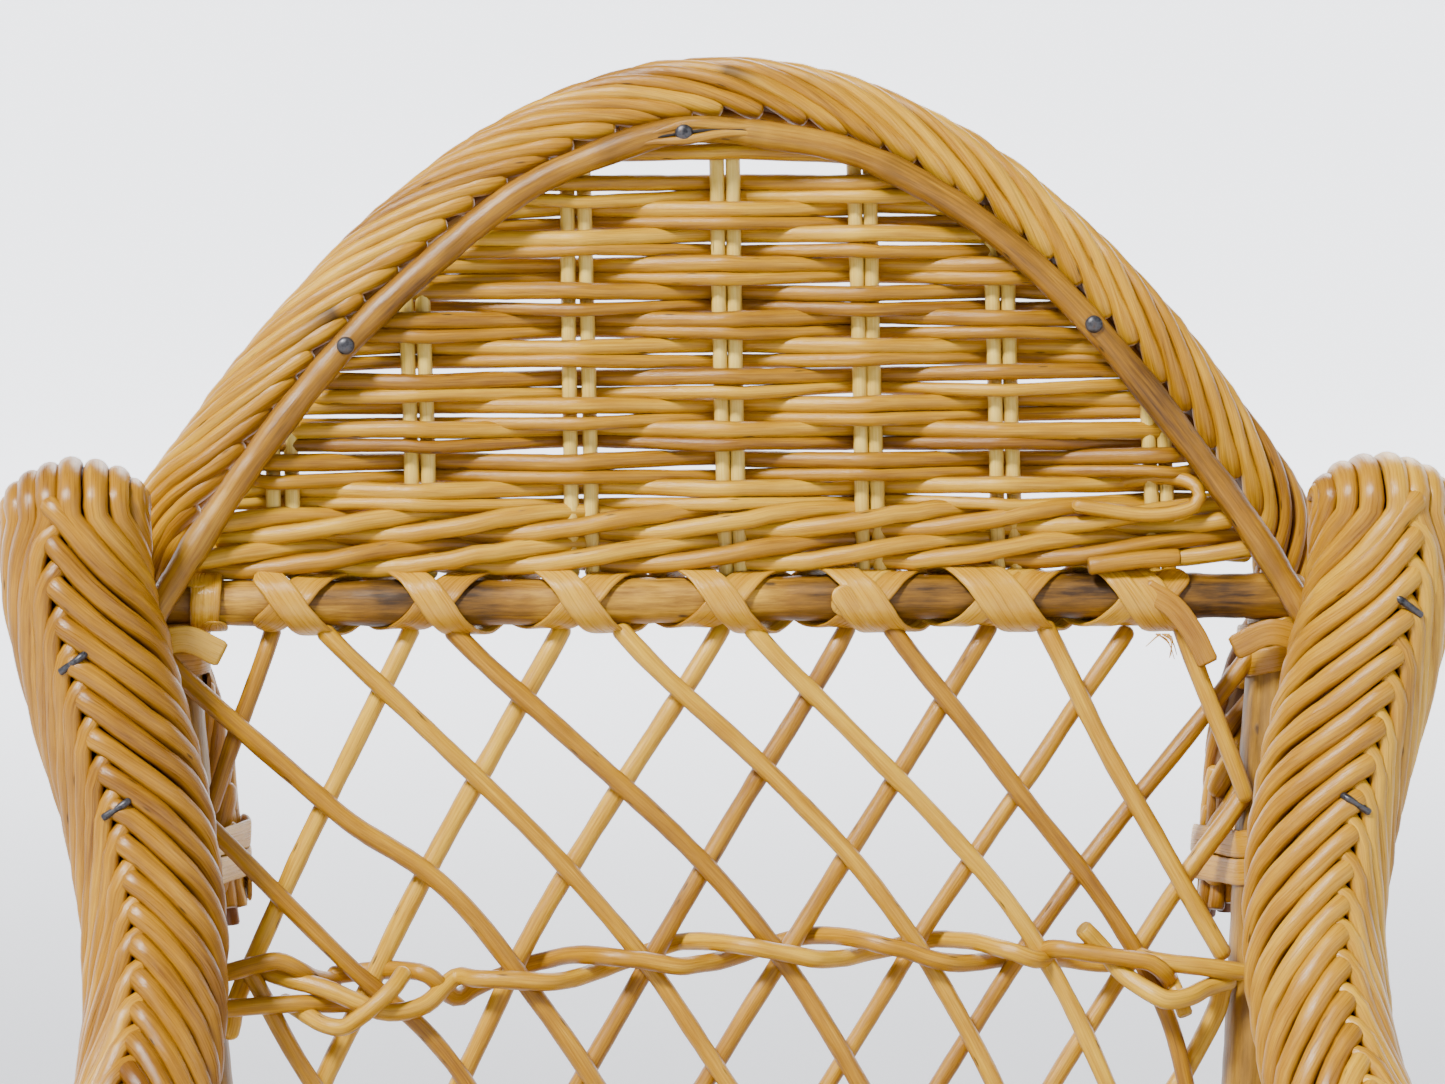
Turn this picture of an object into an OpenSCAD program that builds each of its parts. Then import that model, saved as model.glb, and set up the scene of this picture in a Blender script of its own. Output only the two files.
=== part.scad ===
// Miniature rocking chair in woven willow: frame, rockers, woven seat, lattice back and rolled arms.
// Millimetres. The chair faces -Y and +Z is up. +X is the sitter's left, on the right when seen from the front.

/* [Frame] */
// Height of the seat's weave above the floor
seat_z = 155.5; // [150:0.5:160]
// Backward lean of the back, in degrees
recline = 6; // [3:0.5:8]
// Radius of the legs and back posts
leg_r = 5; // [4.5:0.1:5.2]
// Radius of the seat rails
rail_r = 4; // [3.5:0.1:4.2]
// Distance of the legs from the middle plane
leg_x = 82.5; // [82:0.5:83]

/* [Rockers] */
// Radius of the rocker's running edge
rocker_radius = 430; // [400:5:460]
// Length of a rocker, front to back
rocker_length = 316; // [300:2:330]
// Height of the rocker's section
rocker_t = 11; // [9:0.5:12]
// Width of the rocker's section
rocker_w = 9; // [8:0.5:10]
// How far behind the middle of the seat the running edge is lowest, under the chair's balance point
rocker_y = 20.5; // [15:0.5:26]

/* [Back] */
// Height of the hoop's highest point
hoop_top = 389; // [385:0.5:391]
// Radius of the hoop's cane
hoop_r = 2.2; // [2:0.1:2.4]
// Radius of the twisted rope border
rope_r = 6.2; // [5.6:0.1:6.4]
// Number of strands in the rope border
rope_strands = 7; // [6:1:8]
// Height of the crossbar
bar_z = 311; // [309:0.5:313]
// Radius of the crossbar
bar_r = 3.85; // [3.5:0.05:4]
// Radius of a lattice rod
lattice_r = 1.6; // [1.3:0.1:1.7]
// Height of the twined row that holds the lattice
twine_z = 252; // [248:1:256]

/* [Arms] */
// Outer radius of a braided arm
arm_r = 12.3; // [11.5:0.1:12.6]
// Radius of the bundle of canes inside an arm
core_r = 8.2; // [7:0.1:8.4]

/* [Hidden] */
$fn = 40;

willow = "#cda15a";
pale_willow = "#e1cd96";
bark_brown = "#82602f";
post_brown = "#967346";
steel = "#5a5a60";

// The back's plane: where it stands at seat height
back_y = 74.5;
// The hoop is a parabola that falls this much for each square millimetre off centre
hoop_bend = 0.0088;
// Depth of the hoop in front of the back's plane
hoop_d = -6.2;
// How far outside the hoop the rope runs
rope_gap = 6.4;
// Depth of the posts and of the rope's tails behind the back's plane
post_d = leg_r;
tail_d = 2 * leg_r + 5.6;
tail_r = 5.4;
// Half the hoop's width where its feet end, and the posts' outward lean
hoop_foot_x = 97;
post_lean = 0.07;
post_top = bar_z - bar_r;
// Seat frame
rail_z = seat_z - 7.6;
border_r = 3.6;
front_y = -76.5;
rear_rail_y = 70.5;
rear_leg_y = back_y + post_d - 0.4;
// Middle of each pair of stakes in the crown
STAKE_X = [-74, -52, -25, 0, 23, 46, 72];
stake_r = 1.2;
stake_half_gap = 1.35;
// Weft rows of the crown
weft_first_z = 328.5;
weft_pitch = 4.6;
weft_rows = 13;
upper_r = 1.25;
lower_r = 1;
weft_d = 3;
// Flat split cane: width and thickness
strip_w = 4.8;
strip_t = 0.8;
// Sticks that join the legs and the rockers
stretcher_r = 3.2;
stretcher_z = 78;
side_stretcher_z = 60;

// Lattice rods as [x, z] stations from the crossbar or a post down to the seat
lattice_foot_z = 165;
FRONT_RODS = [
    [[-94, 302], [-66, 277], [-37, 252], [21, 161]],
    [[-87, 275], [-64, 252], [-43, 230], [-2, 161]],
    [[-83, 256], [-68, 230], [-24, 161]],
    [[-79, 213], [-46, 161]],
    [[-67, 306], [-15, 252], [42, 161]],
    [[-46, 306], [8, 252], [58, 161]],
    [[-18, 306], [32, 252], [73, 161]],
    [[4, 306], [52, 252], [76, 190]],
    [[27, 306], [67, 253], [79, 218]],
    [[53, 306], [66, 280], [82, 252]],
    [[76, 306], [86, 278]]
];
REAR_RODS = [
    [[-76, 306], [-86, 277]],
    [[-53, 306], [-79, 253], [-83, 240]],
    [[-28, 306], [-58, 252], [-79, 206]],
    [[-1, 306], [-35, 252], [-75, 167]],
    [[20, 306], [-13, 252], [-67, 161]],
    [[44, 306], [9, 252], [-49, 161]],
    [[67, 305], [30, 252], [-28, 161]],
    [[88, 301], [49, 252], [-10, 161]],
    [[86, 277], [68, 252], [10, 161]],
    [[83, 247], [76, 232], [32, 161]],
    [[79, 212], [53, 161]]
];
// The twined row crosses itself once between lattice crossings
twine_pitch = 20.3;
twine_start = -58.8;

// Route of the arm on the +X side, from its head at the back down, forward and into the seat corner
ARM_ROUTE = [
    [107.8, 78, 327], [107.5, 77, 318], [104, 75, 297], [99, 72, 275], [97, 66, 254], [98, 54, 234],
    [102, 36, 217], [106, 12, 207], [110, -20, 202], [112, -52, 199], [111, -78, 192],
    [105, -92, 177], [96, -91, 162], [90, -87, 151]
];
ARM_SWELL = [0.9, 1, 1, 0.95, 0.92, 0.95, 1, 1, 1, 1, 1, 0.9, 0.72, 0.6];

// ---- Shapes swept along a path ----

function unit(v) = v / norm(v);
function total(v, n) = n <= 0 ? 0 : v[n - 1] + total(v, n - 1);
function heading(p, i) = unit(p[min(i + 1, len(p) - 1)] - p[max(i - 1, 0)]);
function polygon_section(n, r) = [for (i = [0:n - 1]) r * [cos(360 * i / n), sin(360 * i / n)]];
function strip_section(w, t) = [[-w, -t] / 2, [w, -t] / 2, [w, t] / 2, [-w, t] / 2];
function lobed_section(lobes, r) = [
    for (i = [0:2 * lobes - 1]) r * (i % 2 == 0 ? 1 : 0.82) * [cos(180 * i / lobes), sin(180 * i / lobes)]
];
function turned(s, a) = [s[0] * cos(a) - s[1] * sin(a), s[0] * sin(a) + s[1] * cos(a)];

// One ring of a sweep: the section laid across heading t, with its second axis near up
function ring(at, t, up, section, size, twist) =
    let (u = unit(cross(t, up)), v = cross(u, t))
    [for (s = section) let (q = turned(s, twist) * size) at + q[0] * u + q[1] * v];

// All rings of a sweep. ups is one direction, or one for each point; sizes is one factor, or a list.
function sweep(p, section, ups, sizes = 1, twist = 0) = [
    for (i = [0:len(p) - 1])
        ring(p[i], heading(p, i), is_num(ups[0]) ? ups : ups[i], section,
            is_num(sizes) ? sizes : sizes[i], twist * i)
];
function tube(p, r, n, up) = sweep(p, polygon_section(n, r), up);

function two_triangles(q) = [[q[0], q[1], q[2]], [q[0], q[2], q[3]]];
function skin(k, n, base) = [
    [for (j = [n - 1:-1:0]) base + j],
    for (i = [0:k - 2], j = [0:n - 1])
        each two_triangles([base + i * n + j, base + i * n + (j + 1) % n,
            base + (i + 1) * n + (j + 1) % n, base + (i + 1) * n + j]),
    [for (j = [0:n - 1]) base + (k - 1) * n + j]
];

// Separate closed rods, each a list of rings
module rods(sweeps) {
    sizes = [for (s = sweeps) len(s) * len(s[0])];
    polyhedron(
        points = [for (s = sweeps, r = s, p = r) p],
        faces = [for (i = [0:len(sweeps) - 1]) each skin(len(sweeps[i]), len(sweeps[i][0]), total(sizes, i))]
    );
}

// A ring of rings that closes on itself
module closed_loop(rings) {
    k = len(rings);
    n = len(rings[0]);
    polyhedron(
        points = [for (r = rings, p = r) p],
        faces = [
            for (i = [0:k - 1], j = [0:n - 1])
                each two_triangles([i * n + j, i * n + (j + 1) % n,
                    ((i + 1) % k) * n + (j + 1) % n, ((i + 1) % k) * n + j])
        ]
    );
}

// A sleeve between an outer and an inner sweep that have the same number of points
module sleeve(outer, inner) {
    k = len(outer);
    n = len(outer[0]);
    last = (k - 1) * n;
    in = k * n;
    polyhedron(
        points = concat([for (r = outer, p = r) p], [for (r = inner, p = r) p]),
        faces = concat(
            [for (i = [0:k - 2], j = [0:n - 1]) let (m = (j + 1) % n)
                each two_triangles([i * n + j, i * n + m, (i + 1) * n + m, (i + 1) * n + j])],
            [for (i = [0:k - 2], j = [0:n - 1]) let (m = (j + 1) % n)
                each two_triangles([in + i * n + m, in + i * n + j, in + (i + 1) * n + j, in + (i + 1) * n + m])],
            [for (j = [0:n - 1]) let (m = (j + 1) % n) each two_triangles([j, in + j, in + m, m])],
            [for (j = [0:n - 1]) let (m = (j + 1) % n)
                each two_triangles([last + m, in + last + m, in + last + j, last + j])]
        )
    );
}

// A smooth curve through control points, n steps to a span
function curve_at(a, b, c, d, t) =
    0.5 * (2 * b + (c - a) * t + (2 * a - 5 * b + 4 * c - d) * t * t + (3 * b - a - 3 * c + d) * t * t * t);
function smooth(p, n) = [
    for (i = [0:len(p) - 2], k = [0:n - 1])
        curve_at(p[max(i - 1, 0)], p[i], p[i + 1], p[min(i + 2, len(p) - 1)], k / n),
    p[len(p) - 1]
];

// A straight round stick between two points
module stick(a, b, r) {
    v = b - a;
    translate(a)
        rotate([0, acos(v[2] / norm(v)), atan2(v[1], v[0])])
            cylinder(r = r, h = norm(v));
}

module both_sides() {
    children();
    mirror([1, 0, 0]) children();
}

function flip(p) = [-p[0], p[1], p[2]];

// A point of the back: x across, z up, d behind its plane
function back_at(x, z, d = 0) = [x, back_y + (z - seat_z) * tan(recline) + d, z];
function post_x(z) = leg_x + (z - seat_z) * post_lean;
function hoop_z(x) = hoop_top - hoop_bend * x * x;
function hoop_half(z) = sqrt(max(hoop_top - z, 0) / hoop_bend);

// ---- Rockers and legs ----

function rocker_z(y, up) = rocker_radius - sqrt(pow(rocker_radius - up, 2) - pow(y - rocker_y, 2));

module rocker() {
    half = asin(rocker_length / 2 / rocker_radius);
    color(post_brown)
        translate([leg_x, rocker_y, rocker_radius])
            rotate([0, 90, 0])
                rotate([0, 0, -half])
                    rotate_extrude(angle = 2 * half, $fn = 120)
                        translate([rocker_radius - rocker_t, -rocker_w / 2])
                            square([rocker_t, rocker_w]);
}

module rocker_rail(y) {
    inner = leg_x - rocker_w / 2;
    z = rocker_z(y, rocker_t / 2);
    color(post_brown) stick([-inner, y, z], [inner, y, z], stretcher_r);
}

// A leg that stands on the rocker's curved top
module leg(y, top) {
    color(post_brown)
        intersection() {
            translate([leg_x, y, 0]) cylinder(r = leg_r, h = top);
            translate([leg_x - 20, rocker_y, rocker_radius])
                rotate([0, 90, 0]) cylinder(r = rocker_radius - rocker_t, h = 40, $fn = 120);
        }
}

module front_leg() {
    leg(front_y, rail_z - rail_r);
}

module rear_leg() {
    leg(rear_leg_y, rail_z);
}

module stretcher_across(y) {
    inner = leg_x - leg_r;
    color(post_brown) stick([-inner, y, stretcher_z], [inner, y, stretcher_z], stretcher_r);
}

module stretcher_side() {
    color(post_brown)
        stick([leg_x, front_y + leg_r, side_stretcher_z], [leg_x, rear_leg_y - leg_r, side_stretcher_z],
            stretcher_r);
}

// Bent canes that brace a pair of legs against the rail above them
module knee_braces(y, rail_y) {
    cane_r = 2;
    route = [[76, y, 96], [69, y, 116], [57, (y + rail_y) / 2, 131], [40, rail_y, rail_z - rail_r - cane_r]];
    color(willow)
        rods([
            tube(smooth(route, 3), cane_r, 8, [0, 1, 0]),
            tube([for (p = smooth(route, 3)) flip(p)], cane_r, 8, [0, 1, 0])
        ]);
}

// Split cane wound round the legs where the stretchers meet them
module leg_bindings() {
    color(willow)
        both_sides()
            for (y = [front_y, rear_leg_y], z = [66, 86])
                translate([leg_x, y, z])
                    difference() {
                        cylinder(r = leg_r + strip_t, h = strip_w);
                        translate([0, 0, -1]) cylinder(r = leg_r, h = strip_w + 2);
                    }
}

// ---- Seat ----

module seat_rail_across(y) {
    color(post_brown) stick([-88, y, rail_z], [88, y, rail_z], rail_r);
}

module seat_rail_side() {
    color(post_brown)
        stick([leg_x, front_y + rail_r, rail_z], [leg_x, rear_rail_y - rail_r, rail_z], rail_r);
}

SEAT_STAKE_X = [for (i = [-4:4]) 17 * i];
seat_stake_r = 1.5;
seat_weft_r = 1.55;
seat_pitch = 3.9;
seat_back_edge = rear_rail_y - border_r;
seat_front_edge = front_y + border_r;

module seat_stakes() {
    color(pale_willow)
        rods([
            for (x = SEAT_STAKE_X)
                tube([[x, seat_front_edge, seat_z], [x, seat_back_edge, seat_z]], seat_stake_r, 8, [0, 0, 1])
        ]);
}

module seat_weft() {
    count = floor((seat_back_edge - seat_front_edge - 3) / seat_pitch);
    edge = leg_x - border_r;
    color(willow)
        rods([
            for (row = [0:count])
                let (y = seat_front_edge + 2 + row * seat_pitch, side = row % 2 == 0 ? 1 : -1)
                tube(
                    concat(
                        [[-edge, y, seat_z]],
                        [for (i = [0:8]) [SEAT_STAKE_X[i], y, seat_z + side * (i % 2 == 0 ? 3.3 : -3.3)]],
                        [[edge, y, seat_z]]
                    ),
                    seat_weft_r, 4, [0, 0, 1]
                )
        ]);
}

// Twisted border round the seat
module seat_border() {
    bend = 8;
    corners = [
        [leg_x, rear_rail_y], [-leg_x, rear_rail_y], [-leg_x, front_y], [leg_x, front_y]
    ];
    route = [
        for (i = [0:3])
            let (
                c = corners[i],
                m = c - bend * [sign(c[0]), c[1] > 0 ? 1 : -1],
                next = corners[(i + 1) % 4],
                out = m + bend * [cos(90 * i + 90), sin(90 * i + 90)],
                away = next - bend * [sign(next[0]), next[1] > 0 ? 1 : -1] - m
            )
            each concat(
                [for (a = [90 * i, 90 * i + 45]) m + bend * [cos(a), sin(a)]],
                [for (t = [0:5]) out + away * t / 6]
            )
    ];
    k = len(route);
    color(willow)
        closed_loop([
            for (i = [0:k - 1])
                ring([route[i][0], route[i][1], seat_z],
                    unit([each (route[(i + 1) % k] - route[(i + k - 1) % k]), 0]),
                    [0, 0, 1], lobed_section(4, border_r), 1, 45 * (i % 2))
        ]);
}

// ---- Back ----

// A post whose ends are level, so it stands flush on the rear leg and under the crossbar
module back_post() {
    section = polygon_section(24, leg_r);
    level = [0, 0, 1];
    color(post_brown)
        rods([[
            for (z = [rail_z, post_top])
                ring(back_at(post_x(z), z, post_d), level, [0, 1, 0], section, 1, 0)
        ]]);
}

module crossbar() {
    color(bark_brown) stick(back_at(-94, bar_z), back_at(94, bar_z), bar_r);
}

// Flat cane wound round the crossbar, crossing the other winding in front of each pair of stakes
module lashing(hand, lift) {
    turns = 6.4;
    pitch = 24;
    r = bar_r + strip_t / 2 + lift;
    centre = back_at(-1, bar_z);
    steps = 20 * turns;
    angle = function(i) hand * 360 * (i / steps - 0.5) * turns;
    radial = [for (i = [0:steps]) [0, -cos(angle(i)), sin(angle(i))]];
    path = [for (i = [0:steps]) centre + r * radial[i] + [pitch * turns * (i / steps - 0.5), 0, 0]];
    color(willow) rods([sweep(path, strip_section(strip_w, strip_t), radial)]);
}

function hoop_route(steps) = [
    for (i = [0:steps])
        let (x = hoop_foot_x * sin(90 * (2 * i / steps - 1) * 0.98) / sin(90 * 0.98))
        back_at(x, hoop_z(x), hoop_d)
];

module back_hoop() {
    color(willow) rods([tube(hoop_route(36), hoop_r, 8, [0, 1, 0])]);
}

// Half of the rope's route, from the top down to the end of its tail behind the post
function rope_arch(x) =
    let (slope = 2 * hoop_bend * x, out = unit([slope, 1]))
    back_at(x + rope_gap * out[0], hoop_z(x) + rope_gap * out[1], x < 60 ? 0.4 : 0.4 + pow((x - 60) / 30, 2) * 9);
ROPE_HALF = concat(
    [for (x = [0:10:80]) rope_arch(x)],
    [
        rope_arch(88), back_at(95, 309, tail_d - 3), back_at(91.5, 299, tail_d), back_at(88, 288, tail_d),
        back_at(86.5, 275, tail_d), back_at(85.5, 257, tail_d)
    ]
);

module rope_border() {
    half = smooth(ROPE_HALF, 3);
    k = len(half);
    route = concat([for (i = [k - 1:-1:1]) flip(half[i])], half);
    sizes = [for (i = [0:2 * k - 2]) abs(i - k + 1) > k - 14 ? tail_r / rope_r : 1];
    color(willow) rods([sweep(route, lobed_section(rope_strands, rope_r), [0, 1, 0], sizes, -33)]);
}

// Two turns of split cane that hold a rope tail against its post
module tail_tie() {
    z = 264;
    a = back_at(post_x(z), z, post_d);
    b = back_at(86, z, tail_d);
    color(willow)
        for (turn = [0, 1])
            translate([0, 0, z + turn * (strip_w + 0.4)])
                linear_extrude(height = strip_w)
                    difference() {
                        hull() {
                            translate([a[0], a[1]]) circle(r = leg_r + strip_t + 0.5, $fn = 24);
                            translate([b[0], b[1]]) circle(r = tail_r + strip_t, $fn = 24);
                        }
                        hull() {
                            translate([a[0], a[1]]) circle(r = leg_r + 0.5, $fn = 24);
                            translate([b[0], b[1]]) circle(r = tail_r, $fn = 24);
                        }
                    }
}

module crown_stakes() {
    color(pale_willow)
        rods([
            for (x = STAKE_X, side = [-1, 1])
                let (at = x + side * stake_half_gap)
                tube([back_at(at, bar_z + bar_r + 1.8), back_at(at, hoop_z(at) - 1)], stake_r, 6, [0, 1, 0])
        ]);
}

// One rod of a weft row: in front of every other pair of stakes, ends hidden behind the hoop
function weft_rod(z, first, r) =
    let (
        half = hoop_half(z) - 0.5,
        inner = [for (i = [0:6]) if (abs(STAKE_X[i]) < half - 3) i]
    )
    tube(
        concat(
            [back_at(-half, z, 0)],
            [for (i = inner) back_at(STAKE_X[i], z, first * (i % 2 == 0 ? weft_d : -weft_d))],
            [back_at(half, z, 0)]
        ),
        r, 5, [0, 0, 1]
    );

module crown_weft() {
    color(willow)
        rods([
            for (row = [0:weft_rows - 1], upper = [0, 1])
                let (z = weft_first_z + row * weft_pitch, side = row % 2 == 0 ? 1 : -1)
                if (upper == 1 || row < weft_rows - 1)
                    weft_rod(z + (upper == 1 ? lower_r : -upper_r), side, upper == 1 ? upper_r : lower_r)
        ]);
}

// Rods twisted round the pairs of stakes at height z
module wale(z, count, r) {
    half = hoop_half(z) - 2;
    steps = 26;
    pitch = 48;
    color(willow)
        rods([
            for (k = [0:count - 1])
                tube(
                    [
                        for (i = [0:steps])
                            let (x = half * (2 * i / steps - 1), a = 360 * x / pitch + 360 * k / count)
                            back_at(x, z + r * 1.3 * sin(a), -2.9 * cos(a))
                    ],
                    r, 5, [0, 0, 1]
                )
        ]);
}

// The last stretch of a rod that runs on down behind the seat's border and rail
function tucked_end(s, d) =
    let (
        last = s[len(s) - 1],
        before = s[len(s) - 2],
        slope = (last[0] - before[0]) / (last[1] - before[1]),
        past_border = [seat_z, 3.15],
        past_rail = [seat_z - 6.5, 4.15]
    )
    last[1] > lattice_foot_z ? [] : [
        for (q = [past_border, past_rail]) back_at(last[0] + slope * (q[0] - last[1]), q[0], d + q[1])
    ];

// Lattice rods that all lie at depth d
module lattice(stations, d) {
    color(willow)
        rods([
            for (s = stations)
                tube(smooth(concat([for (p = s) back_at(p[0], p[1], d)], tucked_end(s, d)), 2),
                    lattice_r, 6, [0, 1, 0])
        ]);
}

// Two rods that twist round each lattice crossing
module twined_row() {
    reach = lattice_r * 2 + 1.7;
    half = 81;
    steps = 40;
    color(willow)
        rods([
            for (hand = [-1, 1])
                tube(
                    [
                        for (i = [0:steps])
                            let (x = half * (2 * i / steps - 1), a = 180 * (x - twine_start) / twine_pitch)
                            back_at(x, twine_z + hand * 1.8 * sin(a), hand * reach * max(-1, min(1, 1.4 * cos(a))))
                    ],
                    1.5, 6, [0, 0, 1]
                )
        ]);
}

// Flat cane wound round the head of a post
module shoulder_tie() {
    z = post_top - 10.5;
    at = back_at(post_x(z), z, post_d);
    color(willow)
        translate(at)
            rotate([-recline, atan(post_lean), 0])
                difference() {
                    cylinder(r = leg_r + 1.1, h = 9);
                    translate([0, 0, -1]) cylinder(r = leg_r + 0.2, h = 11);
                }
}

// ---- Arms ----

arm_steps = 2;
arm_sides = 12;
arm_path = smooth(ARM_ROUTE, arm_steps);
arm_swell = smooth(ARM_SWELL, arm_steps);

module arm_core() {
    color(willow)
        rods([sweep(arm_path, polygon_section(arm_sides, core_r - 0.1), [1, 0, 0], arm_swell)]);
}

module arm_braid() {
    color(willow)
        sleeve(
            sweep(arm_path, polygon_section(arm_sides, arm_r), [1, 0, 0], arm_swell),
            sweep(arm_path, polygon_section(arm_sides, core_r), [1, 0, 0], arm_swell)
        );
}

// Crossed rods between the seat's edge and the arm above it
module side_lattice() {
    foot = function(y, out) [leg_x + 1.5 + out, y, seat_z + border_r + 1];
    head = function(y, out) [106.5 - y * 0.05 + out, y, 187.5 + max(0, y + 15) * 0.14];
    color(willow)
        rods([
            for (y = [-58:21:26], lean = [-1, 1])
                let (out = 1.7 * lean, a = y + (lean > 0 ? 0 : 21), b = y + (lean > 0 ? 21 : 0))
                tube([foot(a, out), head(b, out)], 1.5, 6, [1, 0, 0])
        ]);
}

// ---- Nails ----

NAIL_X = [-63.5, -7.5, 60.5];

module hoop_nails() {
    color(steel)
        for (x = NAIL_X)
            translate(back_at(x, hoop_z(x), hoop_d - hoop_r))
                rotate([90 - recline, 0, 0]) cylinder(r = 1.45, h = 0.7, $fn = 24);
}

// A spot on the arm's surface at point i of its path, at angle a from its front towards the outer side
function on_arm(i, a) =
    let (u = unit(cross(heading(arm_path, i), [1, 0, 0])), v = cross(u, heading(arm_path, i)))
    arm_path[i] + arm_r * arm_swell[i] * (cos(a) * u + sin(a) * v);

module arm_nails() {
    color(steel)
        both_sides()
            for (i = [3, 6])
                stick(on_arm(i, 17), on_arm(i, 36), 0.7);
}

module rocker_nails() {
    color(steel)
        both_sides()
            for (y = [front_y, rear_leg_y])
                translate([leg_x + rocker_w / 2, y, rocker_z(y, rocker_t / 2)])
                    rotate([0, 90, 0]) cylinder(r = 1.4, h = 0.8, $fn = 24);
}

module on_right() {
    mirror([1, 0, 0]) children();
}

// The chair stands with the rockers' lowest line through the origin
module placed() {
    translate([0, -rocker_y, 0]) children();
}

placed() rocker();  // rocker_left
placed() on_right() rocker();  // rocker_right
placed() rocker_rail(rocker_y - 126);  // rocker_rail_front
placed() rocker_rail(rocker_y + 130);  // rocker_rail_back
placed() front_leg();  // front_leg_left
placed() on_right() front_leg();  // front_leg_right
placed() rear_leg();  // rear_leg_left
placed() on_right() rear_leg();  // rear_leg_right
placed() stretcher_across(front_y);  // stretcher_front
placed() stretcher_across(rear_leg_y);  // stretcher_back
placed() stretcher_side();  // stretcher_left
placed() on_right() stretcher_side();  // stretcher_right
placed() knee_braces(front_y, front_y);  // knee_braces_front
placed() knee_braces(rear_leg_y, rear_rail_y);  // knee_braces_rear
placed() leg_bindings();
placed() seat_rail_across(front_y);  // seat_rail_front
placed() seat_rail_across(rear_rail_y);  // seat_rail_back
placed() seat_rail_side();  // seat_rail_left
placed() on_right() seat_rail_side();  // seat_rail_right
placed() seat_stakes();
placed() seat_weft();
placed() seat_border();
placed() back_post();  // back_post_left
placed() on_right() back_post();  // back_post_right
placed() crossbar();
placed() lashing(1, 0);  // lashing_rising
placed() lashing(-1, strip_t);  // lashing_falling
placed() back_hoop();
placed() rope_border();
placed() tail_tie();  // tail_tie_left
placed() on_right() tail_tie();  // tail_tie_right
placed() crown_stakes();
placed() crown_weft();
placed() wale(323.6, 2, 1.2);  // wale_upper
placed() wale(318.8, 3, 1.2);  // wale_lower
placed() lattice(FRONT_RODS, -lattice_r - 0.05);  // lattice_front
placed() lattice(REAR_RODS, lattice_r + 0.05);  // lattice_rear
placed() twined_row();
placed() shoulder_tie();  // shoulder_tie_left
placed() on_right() shoulder_tie();  // shoulder_tie_right
placed() arm_core();  // arm_core_left
placed() on_right() arm_core();  // arm_core_right
placed() arm_braid();  // arm_braid_left
placed() on_right() arm_braid();  // arm_braid_right
placed() side_lattice();  // side_lattice_left
placed() on_right() side_lattice();  // side_lattice_right
placed() hoop_nails();
placed() arm_nails();
placed() rocker_nails();
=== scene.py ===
import math
import random

import bpy
import numpy as np
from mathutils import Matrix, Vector


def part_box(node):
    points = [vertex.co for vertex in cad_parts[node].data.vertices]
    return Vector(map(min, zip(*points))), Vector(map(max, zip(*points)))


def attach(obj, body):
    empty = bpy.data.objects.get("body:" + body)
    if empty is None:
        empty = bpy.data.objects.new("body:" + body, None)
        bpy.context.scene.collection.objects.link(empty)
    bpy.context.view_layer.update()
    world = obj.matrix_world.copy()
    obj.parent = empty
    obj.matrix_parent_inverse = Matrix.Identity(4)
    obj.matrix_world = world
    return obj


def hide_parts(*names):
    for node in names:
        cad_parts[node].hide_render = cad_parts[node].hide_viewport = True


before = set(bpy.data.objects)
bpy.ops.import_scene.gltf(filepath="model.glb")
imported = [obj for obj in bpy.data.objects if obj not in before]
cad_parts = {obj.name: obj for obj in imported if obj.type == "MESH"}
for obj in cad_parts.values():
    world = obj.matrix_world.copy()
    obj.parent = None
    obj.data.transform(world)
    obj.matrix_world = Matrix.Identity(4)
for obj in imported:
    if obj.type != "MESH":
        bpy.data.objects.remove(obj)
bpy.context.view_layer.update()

MM = 0.001
X, Y, Z = np.eye(3)
FRONT = -Y
SIDES = ((1, "left"), (-1, "right"))


# ---- Places taken from the frame, in millimetres ----

def box_mm(node):
    low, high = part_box(node)
    return np.array(low) / MM, np.array(high) / MM


def middle_mm(node):
    low, high = box_mm(node)
    return (low + high) / 2


def half_size(node, axis):
    """Half of a node's size along axis 0, 1 or 2."""
    low, high = box_mm(node)
    return (high[axis] - low[axis]) / 2


BAR, BAR_R = middle_mm("crossbar"), half_size("crossbar", 2)
POST_LOW, POST_HIGH = box_mm("back_post_left")
SEAT_LOW, SEAT_HIGH = box_mm("seat_border")
SEAT_Z, BORDER_R = middle_mm("seat_border")[2], half_size("seat_border", 2)
LEG, LEG_R = middle_mm("front_leg_left"), half_size("front_leg_left", 0)
REAR_LEG = middle_mm("rear_leg_left")
RAIL_Z, RAIL_R = middle_mm("seat_rail_front")[2], half_size("seat_rail_front", 2)
TWINE_Z = middle_mm("twined_row")[2]
# Arms and side rods are drawn with the front legs at this y, then moved to where the frame has them
DRAWN_LEG_Y = -76.5
DRAWN_SHIFT = LEG[1] - DRAWN_LEG_Y
# The back's plane leans by RECLINE, and its posts lean outward
RECLINE = math.radians(6)
POST_LEAN = 0.07
# The hoop is a parabola that falls HOOP_BEND for each square millimetre off centre
HOOP_BEND = 0.0088
HOOP_R = 2.2
HOOP_TOP = box_mm("back_hoop")[1][2] - HOOP_R
HOOP_D = -6.2
# How far outside the hoop the rope runs, and how far behind the back's plane its tails hang
ROPE_GAP = 6.4
TAIL_D = 15.6
STAKE_X = [-74, -52, -25, 0, 23, 46, 72]


def back_at(x, z, d=0.0):
    """A point of the back: x across, z up and d behind its plane."""
    return np.array([x, BAR[1] + (z - BAR[2]) * math.tan(RECLINE) + d, z])


def hoop_z(x):
    return HOOP_TOP - HOOP_BEND * x * x


def hoop_half(z):
    return math.sqrt(max(HOOP_TOP - z, 0) / HOOP_BEND)


def post_x(z):
    return LEG[0] + (z - SEAT_Z) * POST_LEAN


# ---- Curves ----

def unit(v):
    return v / np.linalg.norm(v, axis=-1, keepdims=True)


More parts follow.
